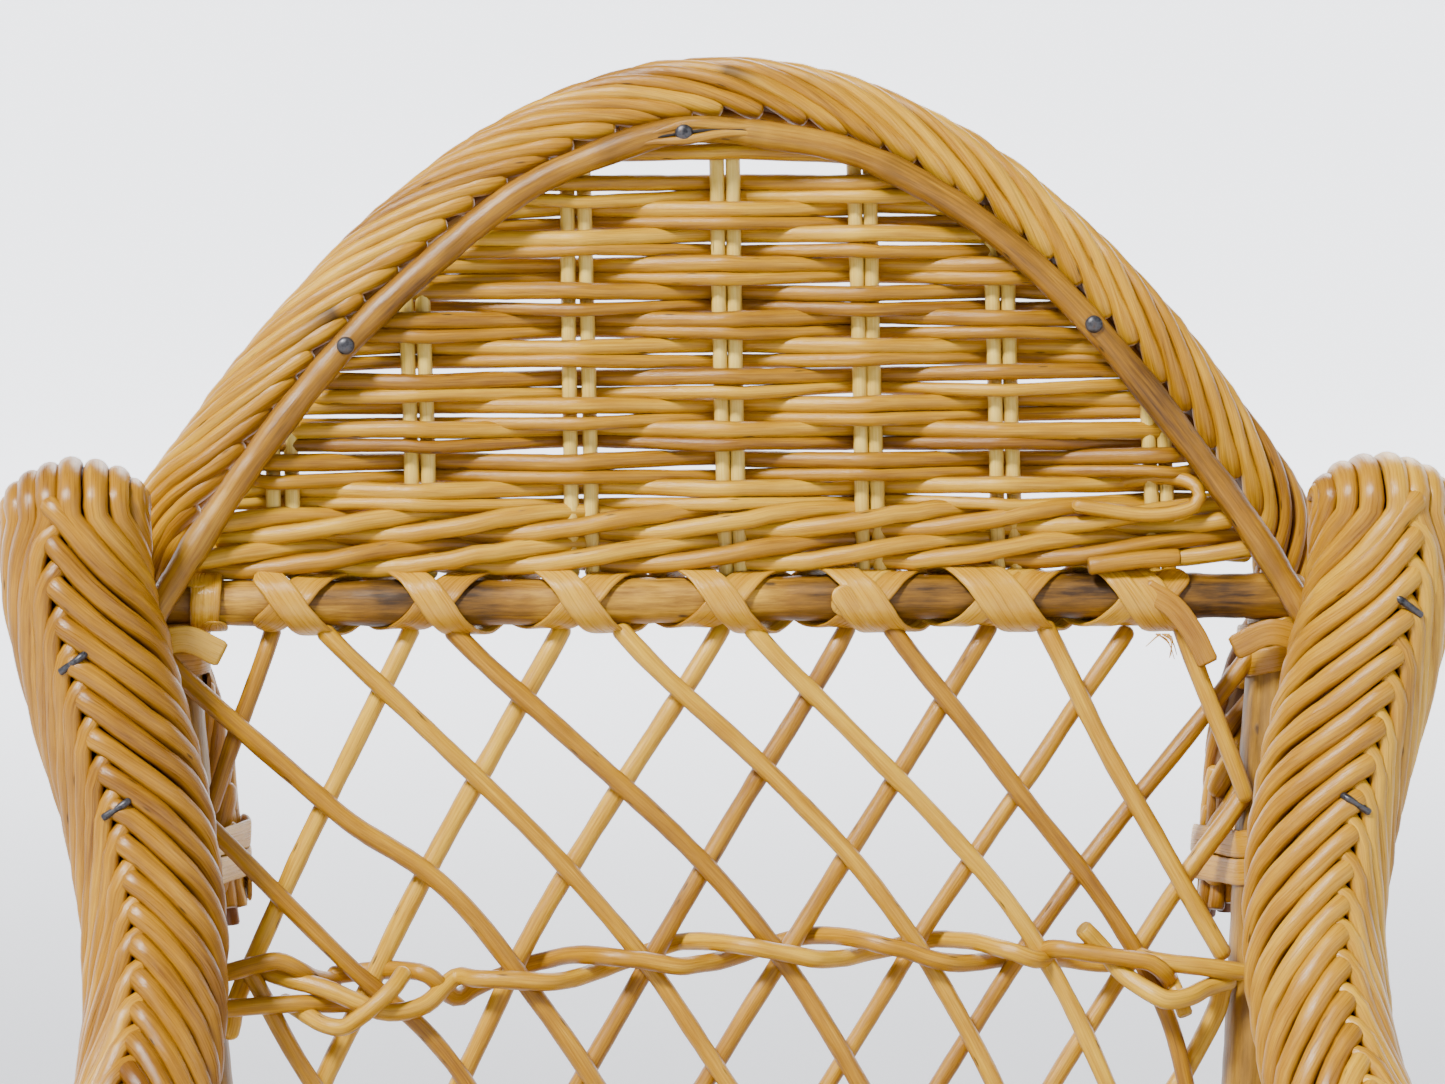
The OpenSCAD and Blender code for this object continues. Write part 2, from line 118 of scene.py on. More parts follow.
def curve(points, step=2.0):
    """A smooth curve through the points, with samples about step mm apart."""
    p = np.asarray(points, float)
    p = np.vstack([2 * p[0] - p[1], p, 2 * p[-1] - p[-2]])
    out = []
    for a, b, c, d in zip(p, p[1:], p[2:], p[3:]):
        n = max(int(np.linalg.norm(c - b) / step), 1)
        t = (np.arange(n) / n)[:, None]
        out.append(
            0.5 * (2 * b + (c - a) * t + (2 * a - 5 * b + 4 * c - d) * t**2 + (3 * b - a - 3 * c + d) * t**3)
        )
    return np.vstack([*out, p[-2:-1]])


def lengths(p):
    return np.concatenate([[0], np.cumsum(np.linalg.norm(np.diff(p, axis=0), axis=1))])


def waves(rng, s, size, period):
    """A smooth random function of s, of about the given size, that changes over about one period."""
    total = 0
    for k in range(3):
        total = total + math.pow(0.6, k) * np.sin(
            2 * math.pi * s * (1 + 0.7 * k) / period * rng.uniform(0.8, 1.2) + rng.uniform(0, 6.28)
        )
    return size * total / 1.6


def mirrored(points):
    return [np.asarray(p) * [-1, 1, 1] for p in points]


def hump(x, at, spread):
    """A smooth hump of height 1 round x = at."""
    return np.exp(-(((x - at) / spread) ** 2))


def on_back(spots, step=2.0):
    """A smooth curve through (x, z, d) spots of the back."""
    return curve([back_at(*spot) for spot in spots], step)


def resample(values, marks, new_marks):
    """Rows of values, given at marks, read off at new_marks."""
    return np.array([np.interp(new_marks, marks, c) for c in np.asarray(values).T]).T


# ---- Pieces made of strands ----

ROUND_END = [(0.95, 0.25), (0.75, 0.6), (0.4, 0.88), (0.0, 1.0)]
CUT_END = [(1.0, 0.84), (0.0, 1.0)]


class Piece:
    """One object made of many rods or strips, with UVs along each and a random tone for each."""

    def __init__(self, name, seed):
        self.name = name
        self.rng = random.Random(seed)
        self.verts, self.faces, self.uvs = [], [], []
        self.tone, self.dark = [], []
        self.flat = set()
        self.count = 0

    def _bands(self, base, heights, sides):
        """Quads between rings of points, the first of which starts at base."""
        for i, (low, high) in enumerate(zip(heights, heights[1:])):
            a, b = base + i * sides, base + (i + 1) * sides
            for j in range(sides):
                m = (j + 1) % sides
                self.faces.append((a + j, a + m, b + m, b + j))
                u0, u1 = j / sides, (j + 1) / sides
                self.uvs += [(u0, low), (u1, low), (u1, high), (u0, high)]

    def _caps(self, base, rings, sides):
        """The two end faces. The points counted so far grow by those of all rings."""
        last = base + (rings - 1) * sides
        self.faces.append(tuple(base + j for j in reversed(range(sides))))
        self.faces.append(tuple(last + j for j in range(sides)))
        self.count += sides * rings

    def strand(self, path, r, thick=None, up=FRONT, sides=10, power=2.0, taper=1.0,
               uneven=0.03, tone=None, ends="round", dark=None, shape=None):
        """A rod along path. r is its half width and thick its half thickness, along up.

        power squares the section, shape scales it along the rod, dark marks scars and painted shade, tone
        picks the tint.
        """
        p = np.asarray(path, float)
        k, rng = len(p), self.rng
        s = lengths(p)
        t = unit(np.gradient(p, axis=0))
        ups = np.broadcast_to(np.asarray(up, float), (k, 3))
        u = unit(np.cross(t, ups))
        v = np.cross(u, t)
        thick = r if thick is None else thick
        swell = 1 + waves(rng, s, uneven, 22) + waves(rng, s, uneven / 2, 6)
        swell = swell * np.linspace(1, taper, k)
        half = np.broadcast_to(np.asarray(r, float), (k,)) * swell
        deep = np.broadcast_to(np.asarray(thick, float), (k,)) * swell
        if shape is not None:
            half, deep = half * shape, deep * shape
        mean = float(half.mean())
        caps = CUT_END if ends == "cut" else ROUND_END
        reach = mean * (0.8 if ends == "round" else 0.3)
        rows = [(p[0] - t[0] * reach * a, 0, b) for a, b in caps]
        rows += [(p[i], i, 1.0) for i in range(1, k - 1)]
        rows += [(p[-1] + t[-1] * reach * a, k - 1, b) for a, b in reversed(caps)]
        angle = 2 * math.pi * np.arange(sides) / sides - math.pi / 2
        cx = np.sign(np.cos(angle)) * np.abs(np.cos(angle)) ** (2 / power)
        cy = np.sign(np.sin(angle)) * np.abs(np.sin(angle)) ** (2 / power)
        base, offset = self.count, rng.uniform(0, 50)
        tone = rng.gauss(0, 0.42) if tone is None else tone + rng.gauss(0, 0.12)
        length = np.array([s[i] for _, i, _ in rows]) / 10 + offset
        for row, (at, i, grow) in enumerate(rows):
            ring = at + np.outer(cx * half[i] * grow, u[i]) + np.outer(cy * deep[i] * grow, v[i])
            self.verts.append(ring)
            shade = 0.0 if dark is None else float(dark[i])
            if ends == "cut" and row in (0, len(rows) - 1):
                shade = max(shade, 0.4)
            self.dark += [shade] * sides
        self.tone += [tone] * (sides * len(rows))
        self._bands(base, length, sides)
        if ends == "cut":
            self.flat |= {len(self.faces), len(self.faces) + 1}
        self._caps(base, len(rows), sides)
        self.uvs += [(j / sides, length[0]) for j in reversed(range(sides))]
        self.uvs += [(j / sides, length[-1]) for j in range(sides)]

    def lathe(self, at, axis, profile, sides=20):
        """A turned form: profile lists (height along axis, radius) and starts and ends on the axis."""
        axis = unit(np.asarray(axis, float))
        u = unit(np.cross(axis, X if abs(axis[0]) < 0.8 else Z))
        v = np.cross(axis, u)
        base = self.count
        for h, r in profile:
            a = 2 * math.pi * np.arange(sides) / sides
            self.verts.append(at + h * axis + r * (np.outer(np.cos(a), u) + np.outer(np.sin(a), v)))
        tone = self.rng.gauss(0, 0.4)
        self.tone += [tone] * (sides * len(profile))
        self.dark += [0.0] * (sides * len(profile))
        self._bands(base, [0.1 * i for i in range(len(profile))], sides)
        self._caps(base, len(profile), sides)
        self.uvs += [(0, 0)] * (2 * sides)

    def build(self, material, slot_name, *nodes):
        mesh = bpy.data.meshes.new(self.name)
        verts = np.vstack(self.verts) * MM
        mesh.from_pydata(verts.tolist(), [], self.faces)
        layer = mesh.uv_layers.new(name="UVMap")
        layer.data.foreach_set("uv", np.array(self.uvs, np.float32).ravel())
        for name, values in (("tone", self.tone), ("dark", self.dark)):
            attribute = mesh.attributes.new(name, "FLOAT", "POINT")
            attribute.data.foreach_set("value", np.array(values, np.float32))
        mesh.polygons.foreach_set("use_smooth", [i not in self.flat for i in range(len(mesh.polygons))])
        mesh.materials.append(material)
        mesh.update()
        piece = bpy.data.objects.new(self.name, mesh)
        bpy.context.scene.collection.objects.link(piece)
        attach(piece, "root")
        if nodes:
            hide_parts(*nodes)
        return piece


# ---- Materials ----

class Nodes:
    """Small helper that adds and links shader nodes."""

    def __init__(self, name):
        self.material = bpy.data.materials.new(name)
        self.material.use_nodes = True
        self.tree = self.material.node_tree
        self.shader = self.tree.nodes["Principled BSDF"]

    def _set(self, socket, value):
        if isinstance(value, bpy.types.NodeSocket):
            self.tree.links.new(value, socket)
        else:
            socket.default_value = value

    def add(self, kind, settings=None, **inputs):
        """A node with its inputs set or linked. i0, i1, ... name an input by its number."""
        node = self.tree.nodes.new(kind)
        for key, value in (settings or {}).items():
            setattr(node, key, value)
        for key, value in inputs.items():
            by_number = key[0] == "i" and key[1:].isdigit()
            self._set(node.inputs[int(key[1:]) if by_number else key], value)
        return node

    def math(self, operation, a, b=0.0):
        return self.add("ShaderNodeMath", {"operation": operation}, i0=a, i1=b).outputs[0]

    def times(self, a, b):
        return self.math("MULTIPLY", a, b)

    def plus(self, a, b):
        return self.math("ADD", a, b)

    def weighted(self, *terms):
        """The sum of (value, weight) terms."""
        total = 0.0
        for value, weight in terms:
            total = self.plus(total, self.times(value, weight))
        return total

    def fade(self, value, start, end, low, high):
        """low where value is at start, high where it is at end, and smooth between."""
        return self.add("ShaderNodeMapRange", {"interpolation_type": "SMOOTHSTEP"},
                        Value=value, i1=start, i2=end, i3=low, i4=high).outputs[0]

    def noise(self, vector, scale, detail=4.0, rough=0.6):
        return self.add("ShaderNodeTexNoise", Vector=vector, Scale=scale, Detail=detail,
                        Roughness=rough).outputs[0]

    def ramp(self, factor, stops):
        node = self.add("ShaderNodeValToRGB", Fac=factor)
        elements = node.color_ramp.elements
        while len(elements) < len(stops):
            elements.new(0.5)
        for element, (place, colour) in zip(elements, stops):
            element.position = place
            element.color = (*colour, 1)
        return node.outputs[0]

    def blend(self, factor, a, b, mode="MIX"):
        return self.add("ShaderNodeMix", {"data_type": "RGBA", "blend_type": mode},
                        i0=factor, i6=a, i7=b).outputs[2]

    def bump(self, strength, depth, height):
        """Relief of the given depth in metres."""
        node = self.add("ShaderNodeBump", Strength=strength, Distance=depth, Height=height)
        self.link(node.outputs[0], "Normal")

    def link(self, output, name):
        self.tree.links.new(output, self.shader.inputs[name])

    def fix(self, **values):
        """Constant values of the shader, with _ for a space in a socket's name."""
        for name, value in values.items():
            self.shader.inputs[name.replace("_", " ")].default_value = value


def strand_coordinates(n):
    """Coordinates that run round and along each strand without a seam, shifted by the strand's tone."""
    uv = n.add("ShaderNodeUVMap", {"uv_map": "UVMap"}).outputs[0]
    parts = n.add("ShaderNodeSeparateXYZ", Vector=uv)
    turn = n.math("MULTIPLY", parts.outputs[0], 2 * math.pi)
    tone = n.add("ShaderNodeAttribute", {"attribute_name": "tone"}).outputs["Fac"]
    dark = n.add("ShaderNodeAttribute", {"attribute_name": "dark"}).outputs["Fac"]
    return n.math("COSINE", turn), n.math("SINE", turn), parts.outputs[1], tone, dark


# Tint multiplied into wood as painted shade on the sides and backs of strands, in the grooves between them
GROOVE_SHADE_TINT = (0.34, 0.18, 0.03, 1)


def wood(name, dark_colour, mid_colour, light_colour, scar_colour, rough, streak=3.2, patch=0.2, scars=0.12,
         tone_share=0.16, gloss=0.45, relief=0.35, shade_depth=0.55, laid=False):
    """Peeled willow and its kin: fibre streaks along the strand, patches, leaf scars and hairline cracks.

    Painted shade darkens the sides of a free rod, or all but the outer face of one that is laid on a core,
    where shade falls between strands.
    """
    n = Nodes(name)
    cosine, sine, along, tone, dark = strand_coordinates(n)
    seed = n.times(tone, 17.0)

    def around(turns, pace, shift=seed):
        """Noise coordinates on the strand: turns scales them round it, pace along it."""
        return n.add("ShaderNodeCombineXYZ", X=n.times(cosine, turns), Y=n.plus(n.times(sine, turns), shift),
                     Z=n.times(along, pace)).outputs[0]

    fine_at = around(streak * 3, 1.4, 0.0)
    fibre = n.noise(around(streak, 0.55), 1.6, 6.0, 0.65)
    fine = n.noise(fine_at, 2.0, 3.0, 0.7)
    blotch = n.noise(n.add("ShaderNodeTexCoord").outputs["Object"], 38.0, 3.0, 0.55)
    cloud = n.noise(around(1.0, 0.9), 0.9, 3.0, 0.5)
    mixed = n.weighted((fibre, 0.5), (fine, 0.2), (blotch, patch), (cloud, 0.3), (tone, tone_share))
    mixed = n.plus(mixed, -patch / 2)
    colour = n.ramp(mixed, [(0.28, dark_colour), (0.5, mid_colour), (0.74, light_colour)])
    # Painted shade: darker towards the sides and back of each strand, by the angle round it
    if laid:
        painted_shade = n.fade(cosine, -0.7, 0.35, 0.0, shade_depth)
    else:
        painted_shade = n.fade(n.math("ABSOLUTE", cosine), 0.75, 0.0, 0.0, shade_depth)
    colour = n.blend(painted_shade, colour, GROOVE_SHADE_TINT, "MULTIPLY")

    cells = n.add("ShaderNodeTexVoronoi", Vector=around(0.8, 0.85), Scale=1.6)
    chance = n.add("ShaderNodeSeparateColor", Color=cells.outputs["Color"]).outputs[0]
    ragged = n.times(n.noise(fine_at, 6.0, 2.0), 0.16)
    spot = n.fade(n.plus(cells.outputs["Distance"], ragged), 0.26, 0.15, 0.0, 1.0)
    spot = n.times(spot, n.math("LESS_THAN", chance, scars))
    crack = n.math("GREATER_THAN", n.noise(around(5.0, 0.22), 1.3, 2.0, 0.5), 0.69)
    mark = n.math("MAXIMUM", n.times(spot, 0.8), n.times(crack, 0.35))
    mark = n.math("MINIMUM", n.math("MAXIMUM", mark, dark), 1.0)
    n.link(n.blend(mark, colour, (*scar_colour, 1)), "Base Color")
    n.link(n.plus(n.weighted((fibre, 0.25), (mark, 0.25)), rough - 0.12), "Roughness")
    n.bump(relief, 0.00022, n.weighted((fibre, 0.8), (fine, 0.5), (mark, -0.8)))
    n.fix(Specular_IOR_Level=gloss)
    return n.material


def steel_material():
    n = Nodes("nail_steel")
    rust = n.noise(n.add("ShaderNodeTexCoord").outputs["Object"], 900.0, 5.0, 0.7)
    colours = [(0.35, (0.025, 0.025, 0.03)), (0.55, (0.09, 0.09, 0.1)), (0.75, (0.1, 0.055, 0.03))]
    n.link(n.ramp(rust, colours), "Base Color")
    n.link(n.plus(n.times(rust, 0.5), 0.15), "Roughness")
    n.bump(0.5, 0.0001, rust)
    n.fix(Metallic=0.7)
    return n.material


BACKDROP_GLOW = 2.5


def floor_material():
    """A pale studio floor whose far part behind the chair glows, as a lit backdrop does."""
    n = Nodes("studio_floor")
    place = n.add("ShaderNodeTexCoord").outputs["Object"]
    greys = [(0.3, (0.74, 0.75, 0.78)), (0.7, (0.77, 0.78, 0.81))]
    n.link(n.ramp(n.noise(place, 2.0, 2.0), greys), "Base Color")
    far = n.add("ShaderNodeSeparateXYZ", Vector=place).outputs[1]
    n.link(n.fade(far, 0.9, 3.4, 0.0, BACKDROP_GLOW), "Emission Strength")
    n.fix(Roughness=0.9, Specular_IOR_Level=0.1, Emission_Color=(0.94, 0.955, 1.0, 1))
    return n.material


# Each wood's colours are its dark streaks, its middle, its light streaks and its scars
WILLOW = wood("buff_willow", (0.2, 0.075, 0.002), (0.45, 0.215, 0.004), (0.76, 0.46, 0.03),
              (0.02, 0.008, 0.002), 0.32, scars=0.46)
PALE = wood("pale_willow", (0.44, 0.25, 0.02), (0.7, 0.47, 0.07), (0.88, 0.69, 0.19),
            (0.09, 0.04, 0.01), 0.34, scars=0.14, shade_depth=0.45)
GOLDEN = wood("golden_willow", (0.16, 0.056, 0.0015), (0.41, 0.185, 0.003), (0.72, 0.41, 0.022),
              (0.02, 0.008, 0.002), 0.3, scars=0.42, shade_depth=0.9, laid=True)
CANE = wood("split_cane", (0.24, 0.09, 0.003), (0.49, 0.235, 0.007), (0.76, 0.46, 0.04),
            (0.07, 0.026, 0.005), 0.28, streak=5.0, scars=0.16, gloss=0.55, shade_depth=0.3)
HOOP = wood("hoop_cane", (0.07, 0.026, 0.002), (0.3, 0.13, 0.004), (0.56, 0.3, 0.02),
            (0.008, 0.004, 0.002), 0.32, patch=0.6, scars=0.45, shade_depth=0.6)
BARK = wood("brown_bark", (0.035, 0.014, 0.001), (0.24, 0.105, 0.004), (0.66, 0.36, 0.025),
            (0.01, 0.005, 0.002), 0.42, streak=2.2, patch=0.95, scars=0.3, relief=0.6, shade_depth=0.3)
STICK = wood("brown_stick", (0.09, 0.038, 0.003), (0.29, 0.145, 0.012), (0.52, 0.3, 0.04),
             (0.03, 0.012, 0.003), 0.42, streak=2.4, patch=0.5, scars=0.16, relief=0.5, shade_depth=0.3)
# Near-black wood for the arms' cores: painted shade in the gaps between the strands
CORE_SHADE_PAINT = wood("painted_shade_core", (0.03, 0.012, 0.002), (0.06, 0.025, 0.003), (0.1, 0.044, 0.006),
                 (0.02, 0.01, 0.002), 0.7)
STEEL = steel_material()


# ---- Crown: hoop, rope, stakes, weft and wales ----

def make_hoop():
    piece = Piece("hoop_cane", 11)
    foot_x, crowding = 97.5, math.radians(88)
    xs = foot_x * np.sin(np.linspace(-1, 1, 260) * crowding) / math.sin(crowding)
    path = np.array([back_at(x, hoop_z(x), HOOP_D) for x in xs])
    path[:, 2] += waves(piece.rng, xs, 0.5, 60)
    crack = hump(xs, -3, 9) * 0.85 + hump(xs, -63, 4) * 0.35
    crack = crack * (0.6 + 0.4 * np.sin(xs * 1.7))
    knots = sum(hump(xs, at, 2.2) for at in (-88, -47, -20, 27, 71, 90))
    piece.strand(path, HOOP_R + 0.1, sides=20, uneven=0.05, tone=0, shape=1 + 0.07 * knots,
                 dark=np.clip(crack * 0.55 + knots * 0.22, 0, 1))
    piece.build(HOOP, "willow", "back_hoop")
    lips = Piece("hoop_split", 12)
    xs = np.linspace(-15, 6, 24)
    bulge = hump(xs, -7, 5)
    for rise in (1.0, -0.9):
        lip = [back_at(x, hoop_z(x) + rise * (0.5 + 0.9 * b), -8.1 - 0.5 * b) for x, b in zip(xs, bulge)]
        lips.strand(lip, 0.85, thick=0.55, tone=0.1, shape=np.sin(np.linspace(0.25, 2.9, len(xs))))
    gap = np.linspace(-14, 3, 18)
    lips.strand([back_at(x, hoop_z(x), -8.35) for x in gap], 0.4, thick=0.2, sides=8, tone=-1,
                dark=np.ones(len(gap)), shape=np.sin(np.linspace(0.2, 2.95, len(gap))))
    lips.build(HOOP, "willow")


# Turn of the rope's twist in radians per mm, at its left and right ends
ROPE_SPIN = (0.056, 0.09)
# Where a strand's tip comes out at the front and where its root dives under, as angles round the rope
ROPE_TIP = math.radians(134)
ROPE_ROOT = math.radians(-188)
# Black scars as (x, spread) along the rope
ROPE_SCARS = ((0, 4), (3, 7), (-64, 5))
TAIL_STRANDS = 9
# The dark core stops this many samples of the route before each end
CORE_TRIM = 8


def rope_route():
    """The rope's centre line from the left tail over the top to the right tail, about 1.5 mm apart."""
    half = []
    for x in range(0, 89, 8):
        slope = 2 * HOOP_BEND * x
        out = unit(np.array([slope, 1.0]))
        d = 0.4 if x < 60 else 0.4 + ((x - 60) / 30) ** 2 * 9
        half.append(back_at(x + ROPE_GAP * out[0], hoop_z(x) + ROPE_GAP * out[1], d))
    half += [back_at(x, z, d) for x, z, d in ((95, 309, TAIL_D - 3), (91.5, 299, TAIL_D), (88, 288, TAIL_D),
                                              (86.5, 275, TAIL_D), (85.6, 262, TAIL_D))]
    return curve(mirrored(half[:0:-1]) + half, 1.5)


def make_rope():
    piece = Piece("rope_border_strands", 21)
    rng = piece.rng
    route = rope_route()
    s = lengths(route)
    t = unit(np.gradient(route, axis=0))
    out = unit(np.cross(Y, t))
    away_from_middle = (np.abs(route[:, 0]) > 60) * np.sign(route[:, 0]) * out[:, 0]
    out *= np.sign(out @ Z + 1e-9 + 2 * away_from_middle)[:, None]
    front = np.cross(t, out)
    front *= np.sign(front @ FRONT)[:, None]
    spin = np.interp(s, [0, s[-1]], ROPE_SPIN)
    phase = np.concatenate([[0], np.cumsum((spin[1:] + spin[:-1]) / 2 * np.diff(s))])
    core = route[CORE_TRIM:-CORE_TRIM]
    # The core is painted dark: painted shade in the gaps between the strands
    piece.strand(core, 3.3, sides=12, tone=-1.2, dark=np.full(len(core), 0.55))
    at = -60.0
    while at < s[-1] + 70:
        tip_phase = np.interp(at, s, phase) + (at - np.clip(at, s[0], s[-1])) * 0.07
        angle = ROPE_TIP + (phase - tip_phase)
        keep = (angle > ROPE_ROOT) & (angle < ROPE_TIP + rng.uniform(-0.1, 0.1))
        if keep.sum() > 6:
            a, base = angle[keep], route[keep]
            bulge = hump(ROPE_TIP - a, 0.22, 0.3)
            away = 4.4 + 0.55 * bulge + waves(rng, s[keep], 0.13, 25)
            away = away - 1.3 * np.clip((math.radians(-120) - a) / 1.1, 0, 1)
            radial = np.cos(a)[:, None] * out[keep] + np.sin(a)[:, None] * front[keep]
            path = base + away[:, None] * radial
            size = rng.uniform(1.24, 1.42) * (1 + 0.4 * bulge)
            scar = np.zeros(keep.sum())
            for where, spread in ROPE_SCARS:
                if rng.random() < 0.45:
                    hit = hump(base[:, 0], where + rng.uniform(-3, 3), spread) * (a > 0.7) * (a < 1.9)
                    scar = np.maximum(scar, hit * rng.uniform(0.6, 1.2))
            piece.strand(path, size, thick=1.55, up=radial, sides=12, uneven=0.06, dark=np.clip(scar, 0, 1),
                         tone=rng.gauss(0.1, 0.35))
        at += np.interp(at, [0, s[-1]], [6.0, 7.6]) * rng.uniform(0.88, 1.12)
    for side in (0, -1):
        last, way = route[side], t[side] * (1 if side else -1)
        for k in range(TAIL_STRANDS):
            a = 2 * math.pi * k / TAIL_STRANDS
            spread = 3.6 * (math.cos(a) * out[side] + math.sin(a) * front[side])
            end = last + way * rng.uniform(2, 7) + spread * 1.15
            piece.strand(curve([last - way * 16 + spread * 0.85, last + spread, end]), 1.45, thick=1.2,
                         up=spread, sides=10, ends="cut", uneven=0.05)
    piece.build(GOLDEN, "willow", "rope_border")


def make_stakes():
    piece = Piece("crown_stake_rods", 31)
    for x in STAKE_X:
        for side in (-1, 1):
            top_x = x + side * 1.36 - 0.2
            foot_x = x + side * 1.4 + piece.rng.uniform(0.3, 1.1)
            z_top = hoop_z(top_x) - 0.6
            mid_x = (top_x + foot_x) / 2 + piece.rng.uniform(-0.25, 0.25)
            path = on_back([(foot_x, BAR[2] + 4.5, 0.2), (mid_x, (BAR[2] + z_top) / 2), (top_x, z_top)])
            piece.strand(path, 1.26, sides=12, uneven=0.02, tone=0.25)
    piece.build(PALE, "pale_willow", "crown_stakes")


def alternate(i):
    """1 or -1 by turns: behind or in front of stake i, above or below it."""
    return 1 if i % 2 == 0 else -1


def weft_rod(piece, z, first, r, tilt, bow):
    """A rod woven through the pairs of stakes, starting behind them (first = 1) or in front (-1)."""
    rng = piece.rng
    half = hoop_half(z) - 0.3
    spots = [(-half, z + tilt * -half, 0.6)]
    for i in range(len(STAKE_X)):
        if abs(STAKE_X[i]) >= half - 4:
            continue
        x = STAKE_X[i] + 0.3
        for dx in (-2.2, 2.2):
            rise = rng.gauss(0, 0.12) + tilt * x + bow * (1 - (x / 90) ** 2) + 0.25 * math.sin(x / 11 + z)
            spots.append((x + dx, z + rise, first * alternate(i) * (2.75 + rng.uniform(0, 0.15))))
    spots.append((half, z + tilt * half, 0.6))
    path = on_back(spots, 1.6)
    backwards = rng.random() < 0.5
    piece.strand(path[::-1] if backwards else path, r * 1.06, sides=12, taper=rng.uniform(0.84, 0.97),
                 uneven=0.035)


WEFT_ROWS = 13
WEFT_FIRST_Z = 328.6
WEFT_PITCH = 4.6


def make_weft():
    """Each row is a thick rod over a thin one. The last row has no thin rod."""
    piece = Piece("crown_weft_rods", 41)
    rng = piece.rng
    for row in range(WEFT_ROWS):
        z = WEFT_FIRST_Z + row * WEFT_PITCH
        tilt = rng.gauss(0.004, 0.004)
        bow = rng.uniform(-0.3, 0.5)
        weft_rod(piece, z + 1.12, alternate(row), 1.42, tilt, bow)
        if row < WEFT_ROWS - 1:
            weft_rod(piece, z - 1.35, alternate(row), 1.16, tilt + rng.gauss(0, 0.003),
                     bow + rng.uniform(-0.3, 0.3))
    piece.build(WILLOW, "willow", "crown_weft")


WALE_RODS = 3
WALE_PITCH = 66


def wale_ends(piece):
    """A rod end that folds back up into the weave, and a cut one beside it."""
    fold = [(58, 326.5, -4.5), (70, 325, -5.2), (77.5, 326.4, -5), (78.2, 329.5, -4), (74, 331, -1.5),
            (66, 330, 2)]
    piece.strand(on_back(fold, 1.2), 1.25, sides=12)
    butt = [(60, 316.6, -5.4), (68, 317.6, -5.8), (74.5, 318, -5.6)]
    piece.strand(on_back(butt, 1.5), 1.5, sides=12, ends="cut")


def make_wale(node, seed, z):
    """Rods twisted round the pairs of stakes at height z."""
    piece = Piece(f"{node}_rods", seed)
    rng = piece.rng
    half = hoop_half(z) - 1.5
    for k in range(WALE_RODS):
        spots = []
        for x in np.arange(-half, half, 3.5):
            a = 2 * math.pi * (x / WALE_PITCH + k / WALE_RODS)
            spots.append((x, z + 1.75 * math.sin(a) + 0.008 * x + rng.gauss(0, 0.07), -3.0 * math.cos(a)))
        piece.strand(on_back(spots, 1.5), 1.62, sides=12, taper=rng.uniform(0.88, 1.0), uneven=0.04)
    if node == "wale_lower":
        wale_ends(piece)
    piece.build(WILLOW, "willow", node)


# ---- Crossbar and bindings ----

CANE_T = 0.4
CANE_POWER = 3.2
# Sideways step of the crossbar's lashing in one turn
LASH_PITCH = 24


def make_crossbar():
    piece = Piece("crossbar_branch", 51)
    spots = [(x, BAR[2] + 0.3 * math.sin(x / 31), 0.2 * math.sin(x / 23)) for x in range(-95, 96, 10)]
    piece.strand(on_back(spots, 1.5), BAR_R, sides=28, uneven=0.035, tone=0)
    piece.build(BARK, "bark_wood", "crossbar")


def winding(piece, centre_x, turns, pitch, hand, lift, phase=0.0, width=2.6):
    """Flat cane wound round the crossbar. hand is 1 or -1, and lift raises it over what lies beneath."""
    w = np.linspace(-turns / 2, turns / 2, int(turns * 40))
    a = 2 * math.pi * hand * w + phase
    radial = np.stack([0 * a, -np.cos(a), np.sin(a)], 1)
    x = centre_x + pitch * w
    swell = 0.25 * np.cos(a) ** 2 + waves(piece.rng, x, 0.12, 18)
    path = np.array([back_at(v, BAR[2]) for v in x]) + (BAR_R + CANE_T + lift + swell)[:, None] * radial
    piece.strand(path, width, thick=0.42, up=radial, sides=16, power=CANE_POWER, uneven=0.05)


def cane_end(piece, spots, width):
    """A loose end of flat cane through (x, z, d) spots of the back."""
    piece.strand(on_back(spots, 1.0), width, thick=CANE_T, sides=14, power=CANE_POWER, ends="cut")


def make_lashings():
    rising = Piece("lashing_rising_strips", 52)
    winding(rising, -1, 6.3, LASH_PITCH, 1, 0.0)
    winding(rising, 46, 2.3, LASH_PITCH, 1, 0.15, phase=0.75, width=2.0)
    winding(rising, -86.8, 1.7, 1.6, 1, 0.2, width=2.4)
    rising.build(CANE, "split_cane", "lashing_rising")
    falling = Piece("lashing_falling_strips", 53)
    winding(falling, -1, 6.3, LASH_PITCH, -1, 0.95)
    winding(falling, 46, 2.3, LASH_PITCH, -1, 1.1, phase=-0.75, width=2.0)
    cane_end(falling, [(69.5, 312.5, -5.2), (73.5, 310, -6), (77, 305.5, -5.9), (79.4, 300.8, -5.3)], 1.9)
    falling.build(CANE, "split_cane", "lashing_falling")
    frays = Piece("lashing_frays", 54)
    rng = frays.rng
    for k in range(7):
        start = back_at(71 + k * 0.35, 305.2, -4.6)
        tip = start + np.array([rng.uniform(-4, 3), rng.uniform(-2, 0.5), rng.uniform(-4.5, -1)])
        frays.strand(curve([start, (start + tip) / 2 + [0.4, -0.3, 0.5], tip], 0.6), 0.17, sides=6, taper=0.4)
    frays.build(CANE, "split_cane")


